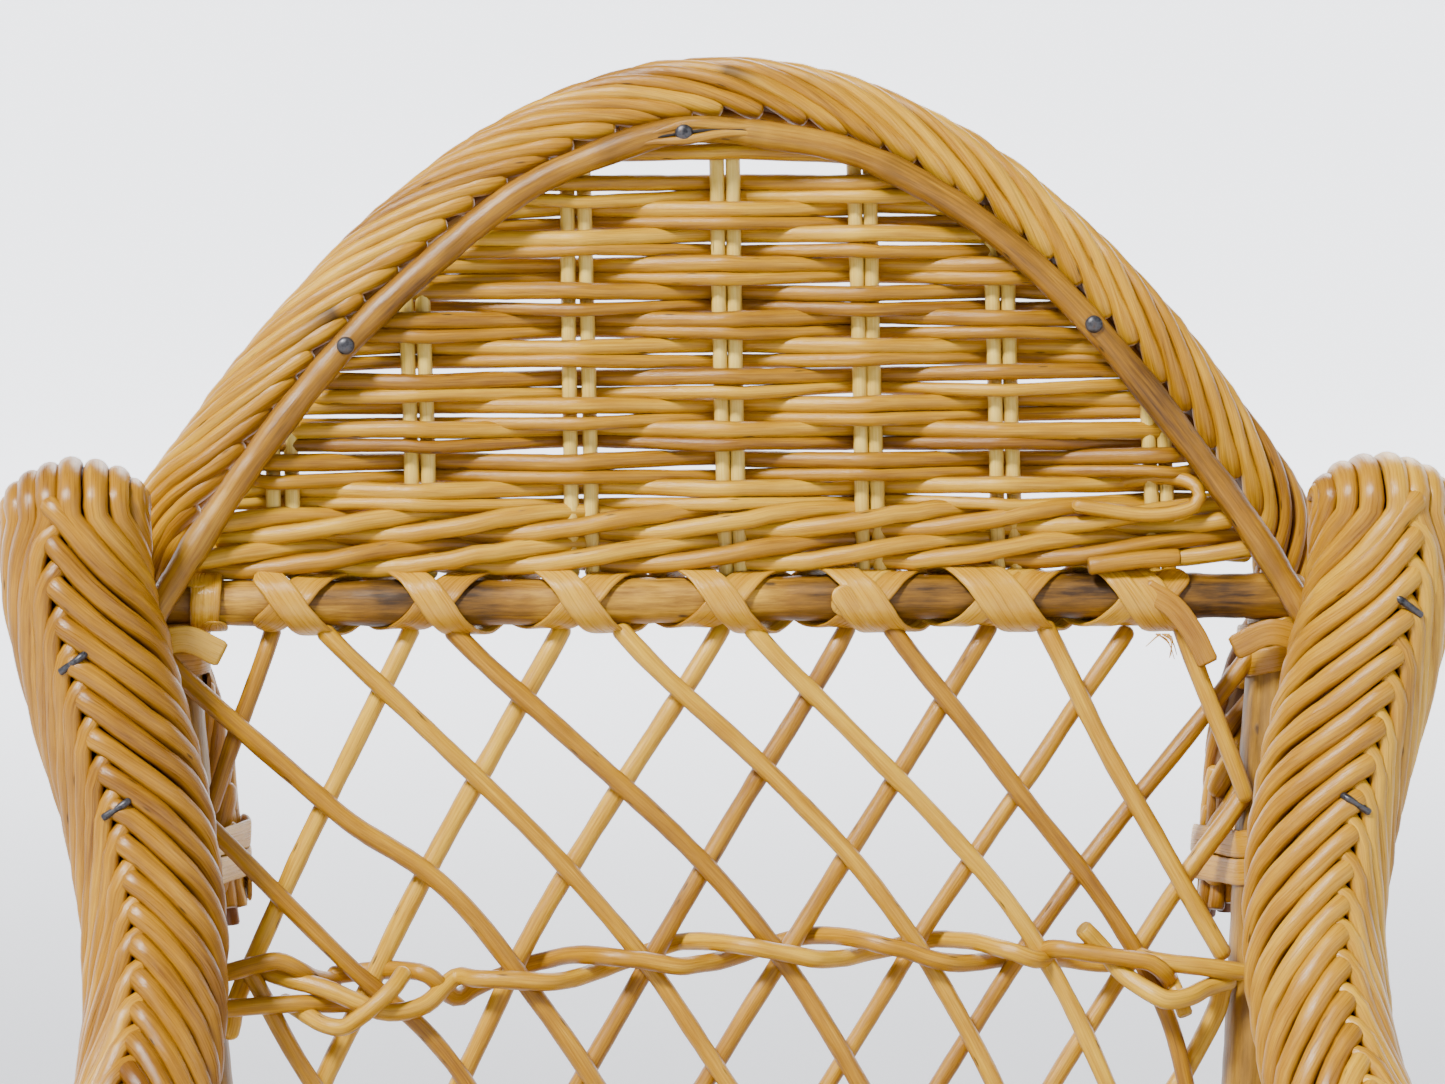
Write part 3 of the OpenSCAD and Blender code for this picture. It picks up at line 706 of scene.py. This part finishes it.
def bound_ring(piece, centres, radii, z, turns, width, slope=0.0):
    """Flat cane wound round one upright rod or a pair of them, upward from height z."""
    centres = np.array(centres)
    ring, normal = [], []
    turned = np.linspace(0, 2 * math.pi * turns, int(72 * turns))
    for v in turned:
        way = np.array([math.cos(v), math.sin(v)])
        best = int(np.argmax([c @ way + r for c, r in zip(centres, radii)]))
        ring.append(centres[best] + way * radii[best])
        normal.append([way[0], way[1], 0])
    ring = np.array(ring)
    height = z + width * 2.05 * turned / (2 * math.pi) + slope * (ring[:, 0] - centres[0][0])
    path = curve(np.column_stack([ring, height])[::3], 1.0)
    ups = resample(normal, np.linspace(0, 1, len(normal)), np.linspace(0, 1, len(path)))
    piece.strand(path, width, thick=CANE_T, up=unit(ups), sides=14, power=CANE_POWER, ends="cut", uneven=0.04)


def make_ties():
    for side, label in SIDES:
        tail = Piece(f"tail_tie_strip_{label}", 55 + side)
        z = 262.0
        post, rope = back_at(post_x(z), z, LEG_R), back_at(86, z, TAIL_D)
        centres = [(side * post[0], post[1]), (side * rope[0], rope[1])]
        bound_ring(tail, centres, (LEG_R + CANE_T, 6.0), z, 2.1, 2.3)
        tail.build(CANE, "split_cane", f"tail_tie_{label}")
        shoulder = Piece(f"shoulder_tie_strip_{label}", 58 + side)
        z = 297.5
        post = back_at(post_x(z), z, LEG_R)
        bound_ring(shoulder, [(side * post[0], post[1])], (LEG_R + 1.0,), z, 2.1, 2.2, slope=side * 0.1)
        cane_end(shoulder, [(side * 96, 304, -5.5), (side * 90, 305.5, -6), (side * 84.5, 303, -4.5)], 2.2)
        shoulder.build(CANE, "split_cane", f"shoulder_tie_{label}")


# ---- Lattice ----

# Lattice rods as (x, z) stations from the crossbar or a post down to the seat
FRONT_RODS = [
    [(-94, 302), (-66, 277), (-37, 252), (21, 161)],
    [(-87, 275), (-64, 252), (-43, 230), (-2, 161)],
    [(-80.5, 251.5), (-68, 230), (-24, 161)],
    [(-79, 213), (-46, 161)],
    [(-67, 306), (-15, 252), (42, 161)],
    [(-46, 306), (8, 252), (58, 161)],
    [(-18, 306), (32, 252), (73, 161)],
    [(4, 306), (52, 252), (76, 190)],
    [(27, 306), (67, 253), (79, 218)],
    [(53, 306), (66, 280), (82, 252)],
    [(76, 306), (86, 278)],
]
REAR_RODS = [
    [(-76, 306), (-86, 277)],
    [(-53, 306), (-79, 253), (-83, 240)],
    [(-28, 306), (-58, 252), (-79, 206)],
    [(-1, 306), (-35, 252), (-75, 167)],
    [(20, 306), (-13, 252), (-67, 161)],
    [(44, 306), (9, 252), (-49, 161)],
    [(67, 305), (30, 252), (-28, 161)],
    [(88, 301), (49, 252), (-10, 161)],
    [(86, 277), (68, 252), (10, 161)],
    [(83, 247), (76, 232), (32, 161)],
    [(79, 212), (53, 161)],
]


def tucked_end(rod, d):
    """The last stretch of a rod that runs on down behind the seat's border and rail."""
    (x0, z0), (x, z) = rod[-2:]
    if z > SEAT_Z + 9:
        return []
    slope = (x - x0) / (z - z0)
    past_border, past_rail = (SEAT_Z, 3.15), (SEAT_Z - 6.5, 4.15)
    return [back_at(x + slope * (at - z), at, d + back) for at, back in (past_border, past_rail)]


LASHED_Z = 303


def make_lattice(node, seed, stations, d):
    """Lattice rods at depth d. Above LASHED_Z they lean back behind the crossbar."""
    piece = Piece(f"{node}_rods", seed)
    rng = piece.rng
    for rod in stations:
        path = curve([back_at(x, z, d) for x, z in rod] + tucked_end(rod, d), 1.8)
        s = lengths(path)
        path[:, 0] += waves(rng, s, 0.22, 60)
        path[:, 1] += waves(rng, s, 0.2, 40)
        path[:, 1] += np.maximum(path[:, 2] - LASHED_Z, 0) * 0.25
        piece.strand(path, rng.uniform(1.5, 1.72), sides=14, taper=rng.uniform(0.82, 1.0), uneven=0.035,
                     tone=rng.gauss(-0.05, 0.4))
    piece.build(WILLOW, "willow", node)


# Loose rods knotted at both ends of the twined row, as (radius, kind of ends, spots of the back)
KNOT_RODS = [
    (1.5, "round", [(-92, 250.2, -1), (-84.6, 250.6, -4.2), (-79, 252, -5), (-75, 252.7, -5.4),
                    (-71.8, 251.3, -4.6), (-69.3, 249.4, -1.5), (-66, 248, 3)]),
    (1.5, "cut", [(-92, 244.6, -1), (-84.4, 244.9, -4.2), (-77, 245.4, -4.6), (-71, 245.6, -4.2),
                  (-66, 245, -1.2), (-62, 244.5, 3)]),
    (1.45, "round", [(-74, 245, 2), (-71.5, 244.2, -2.5), (-67.8, 242.5, -6), (-64.4, 242.2, -7.6),
                     (-61.5, 244.1, -8.6), (-58.8, 246.3, -9), (-56.2, 248.6, -8), (-54.6, 250.4, -5.4)]),
    (1.6, "cut", [(58.3, 256.6, -5.4), (61.5, 253.2, -4), (65, 249, -5.2), (69.5, 246.2, -8.2),
                  (71.9, 245.3, -8.6), (75.5, 245.7, -7.6), (79, 246.8, -5), (83, 247.6, -3)]),
    (1.55, "round", [(68, 251.6, -2.2), (70.7, 251.1, -4.6), (78.4, 250.2, -5.4), (86.2, 249, -4.4),
                     (93, 248, -1)]),
    (1.3, "cut", [(72.5, 249.5, -2), (73.6, 246.5, -5), (74.9, 242.7, -6.4)]),
]
# Starts and ends of the row's two rods, by the side they take first
ROW_STARTS = {
    -1: [(-66, 249, 3.5), (-60, 249.6, 3.8), (-54.5, 250.3, -0.5), (-50.4, 249.9, -3.5)],
    1: [(-79, 251, 2.5), (-75.4, 249.9, -2), (-67.6, 248.2, -5.2), (-61.5, 245.8, -6.6), (-57, 244.3, -6.4),
        (-51, 245.3, -5)],
}
ROW_ENDS = {
    -1: [(53.4, 253.2, -3.6), (59.1, 252.7, -5.6), (65.3, 251.9, -6.6), (69.2, 251.2, -7),
         (71.6, 249.3, -6.2), (73, 247.4, -3), (74, 245.6, 1)],
    1: [(56, 250.6, 3), (62, 249.5, 4.5), (70, 250, 4)],
}
ROW_PITCH = 21.9


def row_z(x):
    return TWINE_Z + 1.3 - 0.0016 * (x - 15) ** 2


def make_twined_row():
    """Two rods that cross between the lattice's crossings and pass on either side of each."""
    piece = Piece("twined_rods", 71)
    rng = piece.rng
    for hand in (-1, 1):
        spots = []
        for x in np.arange(-46, 52, 3.1):
            a = math.pi * (x + 58.0) / ROW_PITCH
            d = hand * 4.9 * max(-1, min(1, 1.35 * math.cos(a)))
            spots.append((x, row_z(x) + hand * 1.75 * math.sin(a) + rng.gauss(0, 0.07), d))
        path = on_back(ROW_STARTS[hand] + spots + ROW_ENDS[hand], 1.3)
        piece.strand(path, 1.55, sides=14, taper=0.96, uneven=0.04)
    for r, ends, spots in KNOT_RODS:
        piece.strand(on_back(spots, 0.8), r, sides=14, ends=ends, uneven=0.03)
    piece.build(WILLOW, "willow", "twined_row")


# ---- Arms ----

# Route of the arm on the +X side, from its head down, forward and into the seat corner
ARM_ROUTE = [
    (107.6, 78, 327), (107, 76.5, 314), (103, 75, 297), (97.4, 72, 275), (95, 66, 254), (96.5, 54, 234),
    (102, 36, 217), (106, 12, 207), (110, -20, 202), (112, -52, 199), (111, -78, 192),
    (105, -92, 177), (96, -91, 162), (90, -87, 151),
]
# Its girth at each of those points
ARM_SIZE = [0.98, 1, 1, 0.95, 0.92, 0.95, 1, 1, 1, 1, 1, 0.9, 0.72, 0.6]
ARM_R = 10.7
STRAND_PITCH = 6.2
# Height of the rounded head as a share of its radius
DOME = 0.66


def spine_turn(s):
    """How far the spine of the braid lies outward of the arm's front, s mm down the arm."""
    return math.radians(float(np.interp(s, [0, 100], [13, 5])))


class Arm:
    """The arm's surface: places on it by angle from the spine, distance down the arm and height off it."""

    def __init__(self):
        route = [np.array(p) + [0, DRAWN_SHIFT, 0] for p in ARM_ROUTE]
        self.path = curve(route, 1.0)
        self.s = lengths(self.path)
        self.length = self.s[-1]
        t = unit(np.gradient(self.path, axis=0))
        self.t = t
        self.u = unit(np.cross(t, X))
        self.v = np.cross(self.u, t)
        n = len(self.path)
        self.size = np.interp(np.arange(n), np.linspace(0, n - 1, len(ARM_SIZE)), ARM_SIZE)

    def _at(self, values, s):
        return resample(values, self.s, s)

    def place(self, theta, s, lift=0.0):
        if s < 0:
            return self.on_dome(theta, -s, lift)
        s = float(np.clip(s, 0, self.length))
        a = theta - spine_turn(s)
        u, v = self._at(self.u, s), self._at(self.v, s)
        normal = math.cos(a) * u - math.sin(a) * v
        r = ARM_R * float(np.interp(s, self.s, self.size)) + lift
        return self._at(self.path, s) + r * normal, normal

    def on_dome(self, theta, rise, lift):
        _, side = self.place(theta, 0)
        g = rise / ARM_R
        outward, upward = math.cos(g) * side, math.sin(g) * -self.t[0]
        return self.path[0] + (ARM_R + lift) * (outward + DOME * upward), unit(outward + upward)

    def over_top(self, across, beta, lift=0.0):
        """A place on the rounded head: across outward, beta from -90 at the back to 90 in front."""
        deep = math.sqrt(max((ARM_R + lift) ** 2 - across**2, 0.1))
        up = -self.t[0]
        normal = math.cos(beta) * up * 0.9 + math.sin(beta) * self.u[0] + across / ARM_R * self.v[0]
        return self.path[0] + across * self.v[0] + deep * (
            math.cos(beta) * up * DOME + math.sin(beta) * self.u[0]), unit(normal)


def add_route(piece, spots, r, thick, side, step=1.6, **more):
    """A strand through (place, normal) pairs, mirrored for the arm on the other side."""
    points = np.array([p for p, _ in spots])
    normals = np.array([n for _, n in spots])
    if side < 0:
        points, normals = points * [-1, 1, 1], normals * [-1, 1, 1]
    path = curve(points, step)
    marks, along = lengths(points), lengths(path)
    ups = resample(normals, marks, along / along[-1] * marks[-1])
    piece.strand(path, r, thick=thick, up=unit(ups), **more)


# How many mm a strand runs down the arm for each mm round it
INNER_SLOPE = 1.45
OUTER_SLOPE = 2.5
# The strands of the arm at the sitter's right are given a browner tone than those of the other
ARM_TONE = {-1: -0.55, 1: 0.3}


def inner_course(start, theta, last):
    """The rest of an inner strand's course as (theta, s) pairs. Seen from the front it runs straight."""
    s, step, course = start, math.radians(12), []
    while theta < math.radians(last):
        course.append((theta, s))
        facing = math.cos(min(theta - spine_turn(s) + step / 2, math.pi / 2))
        s += INNER_SLOPE * ARM_R * step * max(facing, 0.72)
        theta += step
    return course


def inner_strand(arm, piece, start, side, rng):
    """From a blunt tip at the spine, down and round the inner face to the back."""
    spots = [arm.place(math.radians(-9), start - 1.7, -0.5), arm.place(math.radians(-3), start - 0.5, 0.8)]
    sinks_from = 2.97
    for theta, s in inner_course(start + 1.6, math.radians(6), 222):
        if s > arm.length - 1:
            break
        lift = 0.45 - 2.2 * max(theta - sinks_from, 0)
        spots.append(arm.place(theta, s, lift + rng.uniform(-0.12, 0.12)))
    if len(spots) > 3:
        add_route(piece, spots, rng.uniform(1.76, 1.92), 1.65, side, sides=14, uneven=0.04,
                  tone=rng.gauss(ARM_TONE[side], 0.32), taper=1.14)


def outer_strand(arm, piece, start, side, rng):
    """From under two inner tips, over a knuckle and steeply down the outer face."""
    spots = [
        arm.place(math.radians(13), start + 0.6, -2.2), arm.place(math.radians(3), start + 2.2, -0.9),
        arm.place(math.radians(-9), start + 4.5, 0.5), arm.place(math.radians(-17), start + 7.3, 0.65),
        arm.place(math.radians(-24), start + 11.5, 0.25),
    ]
    for degrees in range(33, 182, 13):
        s = start + 11.5 + OUTER_SLOPE * ARM_R * math.radians(degrees - 24)
        if s > arm.length - 1:
            break
        lift = -0.1 if degrees < 150 else -0.1 - (degrees - 150) / 40
        spots.append(arm.place(math.radians(-degrees), s, lift + rng.uniform(-0.25, 0.25)))
    if len(spots) > 3:
        add_route(piece, spots, rng.uniform(1.5, 1.7), 1.45, side, sides=14, uneven=0.04,
                  tone=rng.gauss(0.25 + ARM_TONE[side], 0.32), taper=0.92)


def head_strand(arm, piece, across, inward, side, rng):
    """Over the rounded head and on down the inner or the outer face."""
    alpha = math.asin(max(-1, min(1, -across / ARM_R)))
    theta = alpha + spine_turn(0)
    behind = math.pi - alpha + spine_turn(0)
    spots = [arm.place(behind, 40, -1.9), arm.place(behind, 27, -0.8), arm.place(behind, 9, 0.2)]
    lift = 0.4 if inward else 0.0
    for degrees in (-68, -44, -20, 4, 28, 52, 74):
        spots.append(arm.over_top(across, math.radians(degrees), lift))
    spots.append(arm.place(theta, 1.6, lift))
    if inward:
        for theta, s in inner_course(1.6, theta, 215)[1:]:
            spots.append(arm.place(theta, s, 0.4 if theta < 2.9 else -0.8))
    else:
        for k in range(1, 13):
            turned, s = theta - k * math.radians(12), 1.6 + k * OUTER_SLOPE * ARM_R * math.radians(12)
            spots.append(arm.place(turned, s, -0.8 if k > 10 else 0.2))
    add_route(piece, spots, rng.uniform(1.95, 2.1), 1.6, side, sides=14, uneven=0.04,
              tone=rng.gauss(ARM_TONE[side], 0.32))


def make_arm(side, label):
    arm = Arm()
    piece = Piece(f"arm_strands_{label}", 80 + side)
    rng = piece.rng
    for across in (-10.6, -9.9, -7.4, -3.9, 0.3):
        head_strand(arm, piece, across, True, side, rng)
    for across in (3.9, 7.0, 9.3, 10.4):
        head_strand(arm, piece, across, False, side, rng)
    start = 0.3
    while start < arm.length - 14:
        inner_strand(arm, piece, start, side, rng)
        outer_strand(arm, piece, start, side, rng)
        start += STRAND_PITCH * rng.uniform(0.93, 1.07)
    piece.build(GOLDEN, "willow", f"arm_braid_{label}")
    foot = Piece(f"arm_foot_binding_{label}", 90 + side)
    spots = []
    for k in range(110):
        spots.append(arm.place(k * math.radians(15), arm.length - 12 + k * 0.105, 1.7))
    add_route(foot, spots, 1.5, 0.55, side, step=1.0, sides=12, power=3.0, ends="cut")
    foot.build(CANE, "split_cane")


# ---- Seat, legs and rockers ----

def stick(name, seed, a, b, r, node, up=FRONT, bend=0.4):
    """A cut stick from a to b that bends a little sideways."""
    piece = Piece(name, seed)
    a, b = np.array(a, float), np.array(b, float)
    path = curve([a + (b - a) * f for f in np.linspace(0, 1, 6)], 2.5)
    fade = np.sin(np.linspace(0, math.pi, len(path)))
    path = path + (waves(piece.rng, lengths(path), bend, 90) * fade)[:, None] * unit(np.cross(b - a, up))
    piece.strand(path, r, up=up, sides=28, uneven=0.02, tone=0, ends="cut")
    piece.build(STICK, "frame_wood", node)


def level_stick(node, seed, axis, past=0.0):
    """A stick that fills a CAD node's box along axis 0 or 1, and runs past mm beyond it."""
    low, high = box_mm(node)
    a, b = (low + high) / 2, (low + high) / 2
    a[axis], b[axis] = low[axis] - past, high[axis] + past
    stick(f"{node}_stick", seed, a, b, half_size(node, 2), node, up=Z)


def make_frame():
    seed = 100
    for side, label in SIDES:
        for node, spot in ((f"front_leg_{label}", LEG), (f"rear_leg_{label}", REAR_LEG)):
            low, high = box_mm(node)
            x, y = side * spot[0], spot[1]
            stick(f"{node}_stick", seed, (x, y, low[2] + 0.3), (x, y, high[2]), LEG_R, node, bend=0.15)
            seed += 1
        a, b = (back_at(side * post_x(z), z, LEG_R) for z in (POST_LOW[2], POST_HIGH[2] - 0.3))
        stick(f"back_post_stick_{label}", seed, a, b, LEG_R, f"back_post_{label}", bend=0.2)
        for node in (f"stretcher_{label}", f"seat_rail_{label}"):
            level_stick(node, seed + 1, 1, past=0.6)
            seed += 2
    for node in ("stretcher_front", "stretcher_back", "seat_rail_front", "seat_rail_back",
                 "rocker_rail_front", "rocker_rail_back"):
        level_stick(node, seed, 0)
        seed += 1


def make_rockers():
    radius, tall, wide, steps = 430.0, 11.0, 9.0, 150
    middle_r = radius - tall / 2
    for side, label in SIDES:
        low, high = box_mm(f"rocker_{label}")
        half = math.asin((high[1] - low[1]) / 2 / radius)
        x, y, _ = (low + high) / 2
        a = np.linspace(-half, half, steps) * 0.997
        path = np.column_stack([np.full(steps, x), y + middle_r * np.sin(a), radius - middle_r * np.cos(a)])
        radial = np.column_stack([np.zeros(steps), -np.sin(a), np.cos(a)])
        piece = Piece(f"rocker_{label}_bent_strip", 130 + side)
        piece.strand(path, wide / 2, thick=tall / 2, up=radial, sides=36, power=6.0, uneven=0.003, tone=0)
        piece.build(STICK, "frame_wood", f"rocker_{label}")


def make_braces():
    for name, leg, rail in (("front", LEG, "seat_rail_front"), ("rear", REAR_LEG, "seat_rail_back")):
        piece = Piece(f"knee_brace_canes_{name}", 140)
        top, y, rail_y = RAIL_Z - RAIL_R - 1.9, leg[1], middle_mm(rail)[1]
        route = [(77, y, 96), (70, y, 116), (57, (y + rail_y) / 2, 131), (40, rail_y, top)]
        for side in (1, -1):
            path = curve([np.array(p) * [side, 1, 1] for p in route], 1.8)
            piece.strand(path, 2.0, sides=16, uneven=0.03)
        piece.build(WILLOW, "willow", f"knee_braces_{name}")


def make_leg_bindings():
    piece = Piece("leg_binding_strips", 145)
    for side in (1, -1):
        for spot in (LEG, REAR_LEG):
            for z in (66.5, 86.5):
                bound_ring(piece, [(side * spot[0], spot[1])], (LEG_R + 0.45,), z, 2.0, 1.25)
    piece.build(CANE, "split_cane", "leg_bindings")


SEAT_STAKE_PITCH = 17
SEAT_WEFT_PITCH = 4.9


def make_seat():
    stakes = Piece("seat_stake_rods", 150)
    xs = [SEAT_STAKE_PITCH * i for i in range(-4, 5)]
    y0, y1 = SEAT_LOW[1] + BORDER_R * 2 - 1.5, SEAT_HIGH[1] - BORDER_R * 2 + 1.5
    for middle in xs:
        for x in (middle - 1.35, middle + 1.35):
            stakes.strand(curve([(x, y0, SEAT_Z), (x, y1, SEAT_Z)], 3), 1.25, up=Z, sides=12)
    stakes.build(PALE, "pale_willow", "seat_stakes")
    weft = Piece("seat_weft_rods", 151)
    rng = weft.rng
    edge = LEG[0] - BORDER_R + 1
    y, row = y0 + 2.2, 0
    while y < y1 - 1.5:
        for dy, r in ((1.15, 1.38), (-1.3, 1.18)):
            points = [(-edge, y + dy, SEAT_Z)]
            for i, x in enumerate(xs):
                for dx in (-2.2, 2.2):
                    rise = alternate(row + i) * 2.85
                    points.append((x + dx, y + dy + rng.gauss(0, 0.1), SEAT_Z + rise))
            points.append((edge, y + dy, SEAT_Z))
            weft.strand(curve(points), r, up=Z, taper=rng.uniform(0.88, 1), uneven=0.035)
        y += SEAT_WEFT_PITCH
        row += 1
    weft.build(WILLOW, "willow", "seat_weft")


def make_seat_border():
    """Six strands twisted into a ring round the seat, with rounded corners."""
    piece = Piece("seat_border_strands", 155)
    bend, strands, twist_length = 9.0, 6, 34
    x, y_back = SEAT_HIGH[0] - BORDER_R - bend, SEAT_HIGH[1] - BORDER_R - bend
    y_front = SEAT_LOW[1] + BORDER_R + bend
    loop = []
    for cx, cy, first in ((x, y_back, 0), (-x, y_back, 90), (-x, y_front, 180), (x, y_front, 270)):
        for a in np.radians(range(first, first + 91, 10)):
            loop.append((cx + bend * math.cos(a), cy + bend * math.sin(a), SEAT_Z))
    loop = curve([*loop, loop[0]])
    s = lengths(loop)
    side = np.cross(unit(np.roll(loop, -1, 0) - np.roll(loop, 1, 0)), Z)
    turns = round(s[-1] / twist_length)
    for k in range(strands):
        a = 2 * math.pi * (turns * s / s[-1] + k / strands)
        radial = np.cos(a)[:, None] * side + np.sin(a)[:, None] * Z
        piece.strand(loop + 2.15 * radial, 1.3, thick=1.4, up=radial, uneven=0.05)
    piece.build(GOLDEN, "willow", "seat_border")


def make_side_lattice():
    for side, label in SIDES:
        piece = Piece(f"side_lattice_rods_{label}", 160 + side)
        for y in range(-58, 27, 21):
            for lean in (-1, 1):
                out = 1.7 * lean
                a, b = y + (0 if lean > 0 else 21), y + (21 if lean > 0 else 0)
                foot = (LEG[0] + 1.5 + out, a + DRAWN_SHIFT, SEAT_Z + BORDER_R - 0.5)
                head = (106.5 - b * 0.05 + out, b + DRAWN_SHIFT, 189 + max(0, b + 15) * 0.14)
                path = curve([foot, np.add(foot, head) / 2 + [0.4, piece.rng.gauss(0, 0.4), 0], head])
                piece.strand(path * [side, 1, 1], 1.55, up=X, sides=12)
        piece.build(WILLOW, "willow", f"side_lattice_{label}")


# ---- Nails ----

# A nail head's (height, radius) profile
NAIL_HEAD = [(-0.5, 0.15), (-0.5, 1.2), (0.1, 1.5), (0.45, 1.4), (0.75, 1.0), (0.9, 0.4), (0.92, 0.05)]


NAIL_X = (-63.5, -7.5, 60.5)
# Distances down each arm of its bent nails
ARM_NAILS = {1: (15.5, 50), -1: (23.5, 49)}


def make_nails():
    hoop = Piece("hoop_nail_heads", 170)
    for x in NAIL_X:
        hoop.lathe(back_at(x, hoop_z(x), HOOP_D - HOOP_R - 0.1), FRONT, NAIL_HEAD)
    hoop.build(STEEL, "steel_nails", "hoop_nails")
    arm = Arm()
    arms = Piece("arm_bent_nails", 171)
    for side in (1, -1):
        for s in ARM_NAILS[side]:
            spots = [arm.place(math.radians(turned), s + ds, lift)[0] * [side, 1, 1]
                     for turned, ds, lift in ((10, -0.6, 0.3), (6, 0, 1.9), (-13, 1.6, 1.9))]
            arms.strand(curve(spots, 0.8), 0.62, sides=12, ends="cut")
    arms.build(STEEL, "steel_nails", "arm_nails")
    rockers = Piece("rocker_nail_heads", 172)
    low, high = box_mm("rocker_nails")
    head_r = 1.4
    for side in (1, -1):
        for y in (low[1] + head_r, high[1] - head_r):
            rockers.lathe(np.array([side * (LEG[0] + 4.3), y, (low[2] + high[2]) / 2]), X * side, NAIL_HEAD)
    rockers.build(STEEL, "steel_nails", "rocker_nails")


def paint_cores():
    """The cane cores inside the arms show only in the gaps between the strands, and are painted nearly black
    as painted shade.
    """
    for label in ("left", "right"):
        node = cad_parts[f"arm_core_{label}"]
        node.data.materials.clear()
        node.data.materials.append(CORE_SHADE_PAINT)


# ---- Floor, light and camera ----

def make_floor():
    """A round floor that curves up into a wall all round."""
    flat, bend, top, sides = 6, 2.5, 4.5, 96
    curved = np.linspace(0.1, math.pi / 2, 12)
    profile = [(0.01, 0), (flat / 2, 0), (flat, 0)]
    profile += [(flat + bend * math.sin(a), bend - bend * math.cos(a)) for a in curved]
    profile.append((flat + bend, top))
    round_angles = [2 * math.pi * j / sides for j in range(sides)]
    verts = [(r * math.cos(a), r * math.sin(a), z - 0.0003) for r, z in profile for a in round_angles]
    faces = []
    for ring in range(0, (len(profile) - 1) * sides, sides):
        for j in range(sides):
            m = (j + 1) % sides
            faces.append((ring + j, ring + m, ring + sides + m, ring + sides + j))
    faces.append(tuple(reversed(range(sides))))
    mesh = bpy.data.meshes.new("studio_floor")
    mesh.from_pydata(verts, [], faces)
    mesh.polygons.foreach_set("use_smooth", [True] * len(mesh.polygons))
    mesh.materials.append(floor_material())
    floor = bpy.data.objects.new("studio_floor", mesh)
    bpy.context.scene.collection.objects.link(floor)


def point_at(thing, target):
    thing.rotation_euler = (Vector(target) - thing.location).to_track_quat("-Z", "Y").to_euler()
    bpy.context.scene.collection.objects.link(thing)


def make_light(name, place, size, power, colour):
    data = bpy.data.lights.new(name, "AREA")
    data.shape = "DISK"
    data.size = size
    data.energy = power
    data.color = colour
    lamp = bpy.data.objects.new(name, data)
    lamp.location = place
    point_at(lamp, (0, 0, 0.3))


def make_lights():
    world = bpy.data.worlds.new("studio_sky")
    bpy.context.scene.world = world
    world.use_nodes = True
    sky = world.node_tree.nodes["Background"]
    sky.inputs["Color"].default_value = (0.93, 0.95, 1.0, 1)
    sky.inputs["Strength"].default_value = 0.36
    make_light("key", (-1.1, -1.3, 2.0), 0.5, 122, (1, 0.985, 0.96))
    make_light("fill", (1.6, -1.6, 1.0), 1.4, 10, (0.95, 0.97, 1))
    make_light("rim", (0.4, 1.8, 1.6), 1.0, 20, (1, 1, 1))


def make_camera():
    """Level with the top of the back and a little to its right-hand side, about 0.9 m away."""
    turn, rise, away, view_width = math.radians(-4), math.radians(4), 0.9, 0.2408
    data = bpy.data.cameras.new("photo_camera")
    data.sensor_width = 36
    data.lens = data.sensor_width * away / view_width
    data.clip_start, data.clip_end = 0.02, 40
    camera = bpy.data.objects.new("photo_camera", data)
    aim = Vector(back_at(-1.0, 320.5) * MM)
    camera.location = aim + away * Vector(
        (math.sin(turn) * math.cos(rise), -math.cos(turn) * math.cos(rise), math.sin(rise)))
    point_at(camera, aim)
    bpy.context.scene.camera = camera


make_camera()
make_lights()
make_floor()
make_hoop()
make_rope()
make_stakes()
make_weft()
make_wale("wale_upper", 45, 324.0)
make_wale("wale_lower", 46, 318.7)
make_crossbar()
make_lashings()
make_ties()
make_lattice("lattice_front", 61, FRONT_RODS, -1.65)
make_lattice("lattice_rear", 62, REAR_RODS, 1.65)
make_twined_row()
make_arm(1, "left")
make_arm(-1, "right")
make_frame()
make_rockers()
make_braces()
make_leg_bindings()
make_seat()
make_seat_border()
make_side_lattice()
make_nails()
paint_cores()
